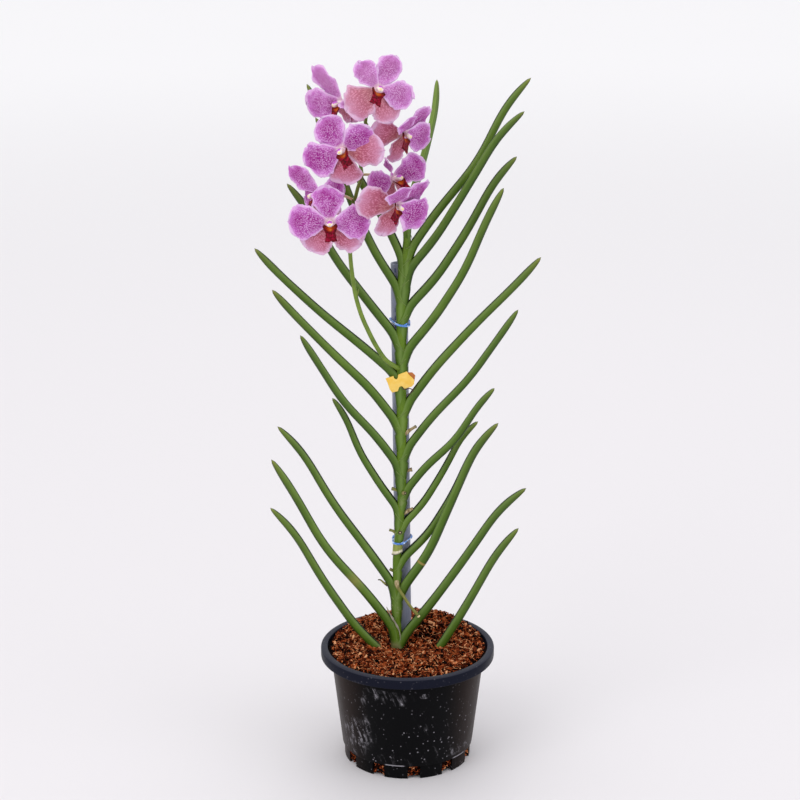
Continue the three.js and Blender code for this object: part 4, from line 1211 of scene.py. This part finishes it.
def spike_mesh():
    bm = new_bmesh()

    def radius(share):
        return SPIKE_FOOT + (SPIKE_TOP - SPIKE_FOOT) * share

    tube(bm, SPIKE, radius, 12, 90)
    joints = [LOWEST_BRACT] + [bloom[4] for bloom in BLOOMS]
    for index, height in enumerate(joints):
        base = spike_place(height - 4)
        turn = index * 2.1
        out = Vector((cos(turn), sin(turn) * 0.7, 0))
        bract = [base + out * 0.6, base + out * 2.2 + UP * 2.4, base + out * 3.4 + UP * 6]
        tube(bm, bract, lambda share: 1.7 * (1 - share) ** 0.7 + 0.15, 8, 8, value=0.25)
        swelling = [base, base + UP * 2, base + UP * 4]
        tube(bm, swelling, lambda share: radius(0.8) + 0.5 * sin(pi * share), 12, 6)
    return closed(bm)


def bloom_matrix(bloom):
    """Local axes of a bloom: x to its right, y up, z the way it faces, in the plant's millimetres."""
    hub, turn, lift, roll, _ = bloom
    turn, lift, roll = radians(turn), radians(lift), radians(roll)
    facing = Vector((sin(turn) * cos(lift), -cos(turn) * cos(lift), sin(lift)))
    right = Vector((cos(turn), sin(turn), 0))
    upward = facing.cross(right)
    rolled = right * cos(roll) + upward * sin(roll)
    raised = facing.cross(rolled)
    matrix = Matrix((rolled, raised, facing)).transposed().to_4x4()
    matrix.translation = Vector(hub)
    return matrix


def petal_place(tepal, forward, seed, settings, u, v):
    """Place on one petal, in the bloom's own millimetres."""
    angle, reach, width, lean, twist = tepal
    share = 1 - (1 - v) ** 1.35
    side = 2 * u - 1
    opened = ease(share, TEPAL_OPENS, TEPAL_WIDEST)
    turned = ease(share, 0, TEPAL_TURNED)
    past = max(0.0, share - TEPAL_WIDEST) / (1 - TEPAL_WIDEST)
    blunt = (1 - past ** 2.6) ** (1 / 2.2) if past < 1 else 0.0
    crinkle = noise.noise(Vector((share * 6, side * 2, seed * 3.1)))
    crinkle += 0.5 * noise.noise(Vector((share * 15, side * 2, seed * 1.3)))
    crinkle = 1 + (0.06 + 0.2 * crinkle) * opened
    half = (TEPAL_CLAW + (width / 2 - TEPAL_CLAW) * opened) * (blunt if past > 0 else 1) * crinkle
    nibble = noise.noise(Vector((side * 2.6, seed * 4.7, 1)))
    nibble += 0.5 * noise.noise(Vector((side * 7, seed, 2)))
    out = TEPAL_START + (reach - TEPAL_START) * share * (1 + 0.09 * nibble * share)
    stand = forward * ease(share, 0, 0.4)
    edge = abs(side) ** 2
    ruffle = settings.ruffle * edge * opened * sin(10.5 * share + 2.2 * side + seed * 1.9)
    frill = 0.8 * edge * edge * opened * noise.noise(Vector((share * 14, side * 5, seed * 2.3)))
    fine = frill + 0.8 * opened * noise.noise(Vector((share * 4, side * 2.4, seed * 1.7)))
    bow = 1.2 * (1 - abs(side)) * sin(pi * share)
    keel = -0.35 * exp(-((side / 0.12) ** 2)) * (1 - share)
    height = stand + ruffle + fine + bow + keel - 3 * share * share
    place = Vector((out, half * side, height))
    place.rotate(Matrix.Rotation(radians(twist) * turned, 3, "X"))
    place.rotate(Matrix.Rotation(-radians(lean) * turned, 3, "Y"))
    place.rotate(Matrix.Rotation(radians(angle), 3, "Z"))
    return place


def petals_mesh(bloom, number, settings):
    matrix = bloom_matrix(bloom)
    bm = new_bmesh()
    for index, (tepal, forward) in enumerate(zip(TEPALS[number], TEPAL_STANDS)):
        seed = index + 5 * number

        def place(u, v):
            return turned_spot(matrix, *petal_place(tepal, forward, seed, settings, u, v))

        wrap(bm, 22, 26, place, value=seed * 0.173 % 1, material=0 if index < 3 else 1)
    bmesh.ops.remove_doubles(bm, verts=bm.verts, dist=JOIN_WITHIN)
    return bm


def pedicel_mesh(bloom):
    matrix = bloom_matrix(bloom)
    joint = spike_place(bloom[4])
    behind = matrix @ Vector((0, 0, -PEDICEL_STRAIGHT))
    middle = behind.lerp(joint, 0.5) + Vector((0, 0, 2))
    points = [matrix @ Vector((0, 0, 1.6)), matrix @ Vector((0, 0, -3)), behind, middle, joint]
    bm = new_bmesh()
    tube(bm, points, lambda share: 3.0 - 1.3 * ease(share, 0.02, 0.2) - 0.5 * share, 12, 30)
    return closed(bm)


def lip_profile(v):
    """Middle line, width and edge height of the lip at a share of its length."""
    at = v * (len(LIP_ROWS) - 1)
    low = min(int(at), len(LIP_ROWS) - 2)
    part = ease(at - low)
    return [a + (b - a) * part for a, b in zip(LIP_ROWS[low], LIP_ROWS[low + 1])]


def lip_mesh(bloom):
    matrix = bloom_matrix(bloom)
    bm = new_bmesh()

    def place(u, v):
        side = 2 * u - 1
        drop, out, half, lift = lip_profile(v)
        notch = LIP_NOTCH * ease(v, 0.8, 1) * abs(1 - 2 * abs(side))
        ridge = 0.5 * ease(v, 0.35, 0.6) * cos(3 * pi * side) * (1 - abs(side))
        rise = lift * abs(side) ** 1.6
        return turned_spot(matrix, -half * side, drop + rise + ridge, out - notch)

    wrap(bm, 20, 28, place)
    return bm


def column_mesh(bloom):
    matrix = bloom_matrix(bloom)
    bm = new_bmesh()
    rows = len(COLUMN_ROWS) - 1

    def place(u, v):
        share, radius = COLUMN_ROWS[round(v * rows)]
        turn = tau * (u - 0.5)
        out = 2.0 + 9.6 * share
        flat = 0.82 if cos(turn) < 0 else 1
        return turned_spot(matrix, radius * sin(turn), 0.4 + radius * cos(turn) * flat, out)

    wrap(bm, 18, rows, place)
    return closed(bm)


def thicken(piece, amount):
    modifier = piece.modifiers.new("thickness", "SOLIDIFY")
    modifier.thickness = amount * MM
    modifier.offset = 0


class ORCHID_OT_blooms(bpy.types.Operator):
    """Add the flower spike with its eight blooms"""
    bl_idname = "orchid.blooms"
    bl_label = "Add Blooms"

    def execute(self, context):
        settings = context.scene.orchid_flowers
        petals = [upper_petal_finish(settings), lower_petal_finish(settings)]
        pedicel, lip, column = pedicel_finish(), lip_finish(), column_finish()
        add_piece("spike", spike_mesh(), [spike_finish()], ["flower_spike"])
        for index, bloom in enumerate(BLOOMS):
            name = f"bloom_{index + 1}"
            tepals = f"{name}_tepals"
            blades = petals_mesh(bloom, index, settings)
            thicken(add_piece(f"{name}_petals", blades, petals, [tepals]), TEPAL_THICK * 0.7)
            add_piece(f"{name}_pedicel", pedicel_mesh(bloom), [pedicel], [tepals])
            tongue = add_piece(f"{name}_tongue", lip_mesh(bloom), [lip], [f"{name}_lip"])
            thicken(tongue, TEPAL_THICK)
            add_piece(f"{name}_head", column_mesh(bloom), [column], [f"{name}_column"])
        return {"FINISHED"}


# Pot and husk chips

def pot_profile():
    """Section of the pot's wall and rim as radius and height, up the outside and down the inside."""
    foot = FOOT_HEIGHT
    top = POT_HEIGHT
    low = top - RIM_DEEP
    skirt = RIM_RADIUS - RIM_SKIRT
    return [
        (FOOT_INNER, foot), (FOOT_RADIUS, foot), (WALL_FOOT_RADIUS - 0.3, foot + 0.4),
        (WALL_FOOT_RADIUS, foot + 1), (WALL_TOP_RADIUS, WALL_TOP), (RIM_INNER + 1.7, WALL_TOP + 3.5),
        (RIM_INNER + 1.9, top - RIM_SKIRT), (skirt, top - RIM_SKIRT), (skirt, low + 0.3),
        (RIM_RADIUS - 1.7, low), (RIM_RADIUS - 0.5, low), (RIM_RADIUS - 0.1, low + 0.5),
        (RIM_RADIUS, low + 1.2), (RIM_RADIUS, top - 1.8), (RIM_RADIUS - 0.25, top - 0.9),
        (RIM_RADIUS - 0.8, top - 0.3), (RIM_RADIUS - 1.7, top), (RIM_INNER + 1.4, top),
        (RIM_INNER + 0.4, top - 0.4), (RIM_INNER, top - 1.2), (RIM_INNER - 0.2, WALL_TOP + 4.5),
        (WALL_TOP_RADIUS - WALL, WALL_TOP + 0.5), (WALL_FOOT_RADIUS - WALL, foot + 1.6), (FOOT_INNER, foot),
    ]


def pot_mesh():
    bm = new_bmesh()
    disc = FOOT_INNER + 0.1
    floor = [(0, FLOOR_LOW), (disc, FLOOR_LOW), (disc, FLOOR_TOP), (0, FLOOR_TOP)]
    for section in (pot_profile(), floor):
        verts = [bm.verts.new(spot(radius, 0, height)) for radius, height in section]
        edges = [bm.edges.new(pair) for pair in zip(verts, verts[1:])]
        bmesh.ops.spin(bm, geom=verts + edges, cent=spot(0, 0, 0), axis=UP, angle=tau, steps=POT_STEPS,
                       use_merge=True)
    gap = DRAIN_WIDTH / FOOT_RADIUS
    arc = tau / FOOT_COUNT - gap
    high = FOOT_HEIGHT + 0.4
    section = [(FOOT_INNER, 0), (FOOT_RADIUS - 0.2, 0), (FOOT_RADIUS + 0.2, high), (FOOT_INNER, high)]
    centre = (FOOT_RADIUS - FOOT_WALL / 2, FOOT_HEIGHT / 2)
    for index in range(FOOT_COUNT):
        start = radians(FIRST_DRAIN) + tau * index / FOOT_COUNT + gap / 2 - pi / 2

        def place(u, v):
            step = round(v * 10) - 1
            radius, height = section[round(u * 4) % 4] if 0 <= step <= 8 else centre
            turn = start + arc * min(max(step, 0), 8) / 8
            return spot(radius * cos(turn), radius * sin(turn), height)

        wrap(bm, 4, 10, place)
    closed(bm)
    return rounded(bm, 0.35, 2, below=(FOOT_HEIGHT - 0.5) * MM)


def swell_share(swell, x, y):
    """How much of a swelling's height is left at a place: 1 in its middle, near 0 outside."""
    return exp(-((x - swell["x"]) / swell["wide"]) ** 2 - ((y - swell["y"]) / swell["deep"]) ** 2)


def medium_height(x, y):
    swells = (HEAP, DIMPLE, MOUND, SHADED_HOLLOW)
    return MEDIUM_LEVEL + sum(swell["height"] * swell_share(swell, x, y) for swell in swells)


def bed_mesh():
    """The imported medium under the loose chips, down to the pot's floor."""
    foot = FOOT_INNER - 0.4
    low = FLOOR_TOP + 0.4
    side = [
        (0, low), (foot, low), (foot, FOOT_HEIGHT + 0.5),
        (WALL_FOOT_RADIUS - WALL - 0.6, FOOT_HEIGHT + 2.2),
        (WALL_TOP_RADIUS - WALL - 0.5, WALL_TOP + 0.8), (MEDIUM_RADIUS, WALL_TOP + 5),
    ]
    rings = side + [(MEDIUM_RADIUS * (1 - step / 26), None) for step in range(27)]
    rows = len(rings) - 1
    bm = new_bmesh()

    def place(u, v):
        radius, height = rings[round(v * rows)]
        turn = tau * u
        x = radius * cos(turn)
        y = radius * sin(turn)
        if height is None:
            lump = noise.noise(Vector((x / 5, y / 5, 0))) * 2.2
            lump += noise.noise(Vector((x / 12, y / 12, 5))) * 1.5
            height = medium_height(x, y) - BED_SINKS + lump * ease(MEDIUM_RADIUS - radius, 0, 6)
        return spot(x, y, height)

    # Low tones keep the bed dark, as painted shade in the gaps between the chips.
    def tone(u, v):
        return 0.12 + 0.2 * noise.noise(Vector((cos(tau * u) * 9, sin(tau * u) * 9, v * 30)))

    wrap(bm, 96, rows, place, value=tone)
    return closed(bm)


def chip_template(seed):
    """One rough splinter of husk with a longest side of about 1."""
    draw = random.Random(seed)
    bm = bmesh.new()
    bmesh.ops.create_cube(bm, size=1)
    bmesh.ops.subdivide_edges(bm, edges=bm.edges, cuts=1, use_grid_fill=True)
    wide = draw.uniform(0.28, 0.5)
    thick = draw.uniform(0.2, 0.36)
    for vert in bm.verts:
        corner = vert.co.length
        vert.co *= 1 - 0.34 * max(0.0, corner - 0.5)
        nudge = noise.noise_vector(vert.co * 2.3 + Vector((seed * 7.1, seed * 3.7, 0)))
        vert.co += nudge * 0.2
        vert.co.z += 0.5 * vert.co.x * vert.co.x
        vert.co.y *= wide
        vert.co.z *= thick
    return mesh_of(f"chip_{seed}", bm)


def crumb_template(seed):
    """One small rough crumb about 1 across."""
    bm = bmesh.new()
    bmesh.ops.create_icosphere(bm, subdivisions=1, radius=0.5)
    for vert in bm.verts:
        vert.co += noise.noise_vector(vert.co * 3 + Vector((seed * 5.3, 0, seed))) * 0.22
    return mesh_of(f"crumb_{seed}", bm)


def scatter(templates, places):
    """One mesh with a template laid at each of the places: matrix and tone."""
    draw = random.Random(len(places))
    bm = new_bmesh()
    layer = bm.verts.layers.float["tint"]
    count = 0
    for matrix, tone in places:
        bm.from_mesh(draw.choice(templates))
        bm.verts.ensure_lookup_table()
        added = bm.verts[count:]
        count = len(bm.verts)
        for vert in added:
            vert.co = matrix @ vert.co
            vert[layer] = tone
    for template in templates:
        bpy.data.meshes.remove(template)
    return bm


def tumbled(draw, x, y, level, size):
    """Placing of one bit of husk that lies at a random slant."""
    spin = Matrix.Rotation(draw.uniform(0, tau), 4, "Z")
    tip = Matrix.Rotation(draw.gauss(0, 0.6), 4, "X") @ Matrix.Rotation(draw.gauss(0, 0.5), 4, "Y")
    matrix = Matrix.Translation(spot(x, y, level)) @ spin @ tip @ Matrix.Scale(size * MM, 4)
    # Random tone, darkened in the hollow beside the stake as painted shade.
    return matrix, min(max(draw.gauss(0.43, 0.31) - 0.45 * swell_share(SHADED_HOLLOW, x, y), 0.0), 0.97)


def surface_places(draw, count, size, factors, low, high):
    """Random places on the medium's surface."""
    places = []
    for _ in range(count):
        long = size * draw.choice(factors)
        reach = (MEDIUM_RADIUS - 0.8 - long * 0.5) * sqrt(draw.random())
        turn = draw.uniform(0, tau)
        x = reach * cos(turn)
        y = reach * sin(turn)
        places.append(tumbled(draw, x, y, medium_height(x, y) + draw.uniform(low, high), long))
    return places


def gap_places(draw, count, size):
    """Random places behind the drain gaps, where the medium shows."""
    places = []
    for _ in range(count):
        long = size * draw.choice((0.6, 0.8, 1.0))
        reach = FOOT_INNER + 0.3
        turn = radians(FIRST_DRAIN) + tau * draw.randrange(FOOT_COUNT) / FOOT_COUNT - pi / 2
        turn += draw.uniform(-0.5, 0.5) * DRAIN_WIDTH / FOOT_RADIUS
        places.append(tumbled(draw, reach * cos(turn), reach * sin(turn), draw.uniform(2.6, 12.8), long))
    return places


def chips_mesh(settings):
    draw = random.Random(CHIP_SEED)
    size = settings.chip_size / MM
    places = surface_places(draw, settings.chip_count, size, (0.6, 0.75, 0.9, 1.0, 1.2, 1.5), -2.2, 1.0)
    places += gap_places(draw, GAP_CHIPS, size * 0.8)
    return scatter([chip_template(seed) for seed in range(CHIP_SHAPES)], places)


def crumbs_mesh(settings):
    draw = random.Random(CRUMB_SEED)
    size = settings.chip_size / MM * 0.45
    places = surface_places(draw, settings.crumb_count, size, (0.6, 0.8, 1.0, 1.3), -1.0, 1.3)
    return scatter([crumb_template(seed) for seed in range(CRUMB_SHAPES)], places)


def strand(bm, draw):
    """One loose fibre that lies over the chips."""
    reach = (MEDIUM_RADIUS - 5) * sqrt(draw.random())
    turn = draw.uniform(0, tau)
    heading = draw.uniform(0, tau)
    long = draw.uniform(2.6, 6.5)
    points = []
    for step in range(3):
        share = step / 2 - 0.5
        bend = heading + share * draw.uniform(-1.4, 1.4)
        x = reach * cos(turn) + long * share * cos(bend)
        y = reach * sin(turn) + long * share * sin(bend)
        points.append((x, y, medium_height(x, y) + draw.uniform(0.2, 2.2)))
    thick = draw.uniform(0.25, 0.62)
    tube(bm, points, lambda share: thick * (1 - 0.5 * share), 4, 4, value=min(1.0, draw.gauss(0.6, 0.27)))


def strands_mesh(settings):
    """Loose fibres, made in batches, because a small mesh is quick to grow."""
    draw = random.Random(STRAND_SEED)
    whole = new_bmesh()
    part = bpy.data.meshes.new("strands")
    for start in range(0, settings.strand_count, STRAND_BATCH):
        bm = new_bmesh()
        for _ in range(min(STRAND_BATCH, settings.strand_count - start)):
            strand(bm, draw)
        closed(bm)
        bm.to_mesh(part)
        bm.free()
        whole.from_mesh(part)
    bpy.data.meshes.remove(part)
    return whole


class ORCHID_OT_pot(bpy.types.Operator):
    """Add the nursery pot with its feet"""
    bl_idname = "orchid.pot"
    bl_label = "Add Pot"

    def execute(self, context):
        plastic = pot_finish(context.scene.orchid_pot)
        add_piece("nursery_pot", pot_mesh(), [plastic], ["pot"], sharp=38)
        return {"FINISHED"}


class ORCHID_OT_chips(bpy.types.Operator):
    """Fill the pot with coconut husk chips"""
    bl_idname = "orchid.chips"
    bl_label = "Add Husk Chips"

    def execute(self, context):
        settings = context.scene.orchid_pot
        # Without a set seed, noise_vector gives other shifts in every run
        noise.seed_set(NUDGE_SEED)
        # The bed shows only in the gaps between the chips, so its finish is darkened as painted shade.
        add_piece("medium_bed", bed_mesh(), [chip_finish("shaded_husk_bed", 0.45)], ["medium"])
        loose = chip_finish("husk_chip", 0.0)
        add_piece("husk_chips", chips_mesh(settings), [loose], ["medium"], sharp=42)
        add_piece("husk_crumbs", crumbs_mesh(settings), [loose], ["medium"], sharp=42)
        add_piece("husk_strands", strands_mesh(settings), [loose], ["medium"])
        return {"FINISHED"}


# Stake, ties and clip

def stake_x(height):
    return STAKE_FOOT_X + (STAKE_TOP_X - STAKE_FOOT_X) * (height - STAKE_FOOT) / STAKE_TALL


def stake_mesh():
    tall = STAKE_TALL
    lean = Matrix.Rotation(atan2(STAKE_TOP_X - STAKE_FOOT_X, tall), 4, "Y")
    matrix = Matrix.Translation(Vector((STAKE_FOOT_X, STAKE_Y, STAKE_FOOT))) @ lean
    outer = STAKE_RADIUS
    inner = outer - STAKE_WALL
    soft = 0.35
    profile = [(inner, 0), (outer, 0)]
    profile += [(outer, tall * step / 12) for step in range(1, 12)]
    profile += [(outer, tall - soft), (outer - soft, tall), (inner + soft, tall), (inner, tall - soft)]
    profile += [(inner, tall * 0.5), (inner, 0)]
    rows = len(profile) - 1
    bm = new_bmesh()

    def place(u, v):
        radius, height = profile[round(v * rows)]
        turn = tau * u
        return turned_spot(matrix, radius * cos(turn), radius * sin(turn), height)

    wrap(bm, 48, rows, place)
    uv = bm.loops.layers.uv["UVMap"]
    for face in bm.faces:
        for loop in face.loops:
            loop[uv].uv.y = loop.vert.co.z / MM / tall
    return closed(bm)


def tie_path(height, slope, steps):
    """Places round the stem and the stake, a little off both."""
    posts = [
        (stem_x(height) + 0.9, 0, read_along(STEM_HALF, height) + 0.9 + TIE_OFF),
        (stake_x(height), STAKE_Y, STAKE_RADIUS + TIE_OFF),
    ]
    middle = (posts[0][0] + posts[1][0]) / 2
    places = []
    for step in range(steps):
        turn = tau * step / steps
        outward = Vector((cos(turn), sin(turn), 0))
        x, y, radius = max(posts, key=lambda post: post[0] * outward.x + post[1] * outward.y + post[2])
        place = Vector((x, y, 0)) + outward * radius
        place.z = height + slope * (place.x - middle)
        places.append((place, outward))
    return places


def tie_mesh(height, slope):
    """Two strands of covered wire that wind round each other, with a short twisted end in front."""
    steps = 150
    ring = tie_path(height, slope, steps)
    bm = new_bmesh()
    for half in range(2):
        def place(u, v):
            index = round(v * steps) % steps
            centre, outward = ring[index]
            wind = tau * 13 * v + pi * half
            middle = centre + outward * 0.5 * cos(wind) + UP * 0.62 * sin(wind)
            turn = tau * u
            return spot(*(middle + outward * 0.6 * cos(turn) + UP * 0.62 * sin(turn)))

        wrap(bm, 8, steps, place)
    front = min(ring, key=lambda item: item[0].y)[0]
    for half in range(2):
        points = []
        for step in range(13):
            share = step / 12
            wind = tau * 1.6 * share + pi * half
            aside = Vector((3.4 * share, -0.8 * share + 0.4 * cos(wind), 2.2 * share + 0.4 * sin(wind)))
            points.append(front + Vector((1.5, -0.6, 0.3)) + aside)
        tube(bm, points, lambda share: 0.5, 8, 30)
    return closed(bm)


def plate_mesh(outline, back, thick, round_edge):
    """Flat plate in the upright front plane, with rounded edges."""
    bm = new_bmesh()
    verts = [bm.verts.new(spot(x, back, z)) for x, z in outline]
    edges = [bm.edges.new(pair) for pair in zip(verts, verts[1:] + verts[:1])]
    face = bmesh.ops.contextual_create(bm, geom=edges)["faces"][0]
    grown = bmesh.ops.extrude_face_region(bm, geom=[face], use_keep_orig=True)
    front = [item for item in grown["geom"] if isinstance(item, bmesh.types.BMVert)]
    bmesh.ops.translate(bm, verts=front, vec=(0, -thick * MM, 0))
    closed(bm)
    return rounded(bm, round_edge, 3)


class ORCHID_OT_support(bpy.types.Operator):
    """Add the stake, the two wire ties and the clip with its loop"""
    bl_idname = "orchid.support"
    bl_label = "Add Stake and Ties"

    def execute(self, context):
        settings = context.scene.orchid_support
        add_piece("stake_tube", stake_mesh(), [stake_finish(settings)], ["stake"])
        wire = wire_finish(settings)
        for name, (height, slope) in TIES.items():
            add_piece(name + "_wire", tie_mesh(height, slope), [wire], [name])
        plate = plate_mesh(CLIP_OUTLINE, CLIP_BACK, CLIP_THICK, 0.22)
        add_piece("clip_face", plate, [clip_finish(settings)], ["clip_plate"], sharp=40)
        jaw = plate_mesh(JAW_OUTLINE, CLIP_BACK + 1.75, 1.4, 0.3)
        add_piece("clip_rear_jaw", jaw, [jaw_finish()], ["clip_jaw"], sharp=40)
        loop = new_bmesh()
        front = CLIP_BACK - CLIP_THICK - 0.85
        points = [(x, front + 0.25 * index, z) for index, (x, z) in enumerate(CLIP_LOOP)]
        tube(loop, points, lambda share: 0.5, 8, 40)
        closed(loop)
        add_piece("clip_wire", loop, [loop_finish()], ["clip_loop"])
        return {"FINISHED"}


# Stage

def add_light(name, power, place, color):
    """Adds a soft square light, in metres, that shines on the plant's middle."""
    light = bpy.data.lights.new(name, "AREA")
    light.shape = "RECTANGLE"
    light.size = LIGHT_WIDE
    light.size_y = LIGHT_WIDE
    light.energy = power
    light.color = color
    lamp = bpy.data.objects.new(name, light)
    lamp.location = place
    lamp.rotation_euler = (Vector(LIT_MIDDLE) - Vector(place)).to_track_quat("-Z", "Y").to_euler()
    bpy.context.scene.collection.objects.link(lamp)


class ORCHID_OT_studio(bpy.types.Operator):
    """Add the floor, the lights and the camera"""
    bl_idname = "orchid.studio"
    bl_label = "Add Studio"

    def execute(self, context):
        settings = context.scene.orchid_studio
        scene = context.scene
        bm = bmesh.new()
        bmesh.ops.create_grid(bm, x_segments=4, y_segments=4, size=16)
        mesh = mesh_of("floor", bm)
        mesh.materials.append(floor_finish(settings))
        ground = bpy.data.objects.new("floor", mesh)
        ground.location.z = -0.0002
        scene.collection.objects.link(ground)
        add_light("key", settings.key_power, (-1.5, -1.7, 2.3), (1.0, 0.99, 0.97))
        add_light("fill", settings.fill_power, (2.1, -0.9, 1.5), (0.97, 0.985, 1.0))
        add_light("top", settings.fill_power, (0.2, 1.4, 2.4), (1, 1, 1))
        world = bpy.data.worlds.new("studio")
        world.use_nodes = True
        background = world.node_tree.nodes["Background"]
        background.inputs["Color"].default_value = (1, 1, 1, 1)
        background.inputs["Strength"].default_value = settings.sky
        scene.world = world
        scene.view_settings.view_transform = "Standard"
        data = bpy.data.cameras.new("camera")
        data.lens = LENS
        data.sensor_width = FILM
        camera = bpy.data.objects.new("camera", data)
        camera.location = spot(*CAMERA)
        camera.rotation_euler = (radians(CAMERA_TILT), 0, 0)
        scene.collection.objects.link(camera)
        scene.camera = camera
        return {"FINISHED"}


class ORCHID_PT_panel(bpy.types.Panel):
    """Sizes, colours and the steps that build the plant"""
    bl_label = "Potted Orchid"
    bl_idname = "ORCHID_PT_panel"
    bl_space_type = "VIEW_3D"
    bl_region_type = "UI"
    bl_category = "Orchid"

    def draw(self, context):
        for group, operators in STEPS:
            settings = getattr(context.scene, group)
            box = self.layout.box()
            for name in settings.__annotations__:
                box.prop(settings, name)
            for operator in operators:
                box.operator(operator.bl_idname)


STEPS = [
    ("orchid_foliage", [ORCHID_OT_leaves, ORCHID_OT_stem]),
    ("orchid_flowers", [ORCHID_OT_blooms]),
    ("orchid_pot", [ORCHID_OT_pot, ORCHID_OT_chips]),
    ("orchid_support", [ORCHID_OT_support]),
    ("orchid_studio", [ORCHID_OT_studio]),
]
GROUPS = {
    "orchid_foliage": ORCHID_PG_foliage,
    "orchid_flowers": ORCHID_PG_flowers,
    "orchid_pot": ORCHID_PG_pot,
    "orchid_support": ORCHID_PG_support,
    "orchid_studio": ORCHID_PG_studio,
}
OPERATORS = [operator for _, operators in STEPS for operator in operators]
CLASSES = [*GROUPS.values(), *OPERATORS, ORCHID_PT_panel]


def register():
    for item in CLASSES:
        bpy.utils.register_class(item)
    for name, group in GROUPS.items():
        setattr(bpy.types.Scene, name, bpy.props.PointerProperty(type=group))


def unregister():
    for name in GROUPS:
        delattr(bpy.types.Scene, name)
    for item in reversed(CLASSES):
        bpy.utils.unregister_class(item)


def main():
    register()
    bpy.ops.orchid.leaves()
    bpy.ops.orchid.stem()
    bpy.ops.orchid.blooms()
    bpy.ops.orchid.pot()
    bpy.ops.orchid.chips()
    bpy.ops.orchid.support()
    bpy.ops.orchid.studio()


if __name__ == "__main__":
    main()
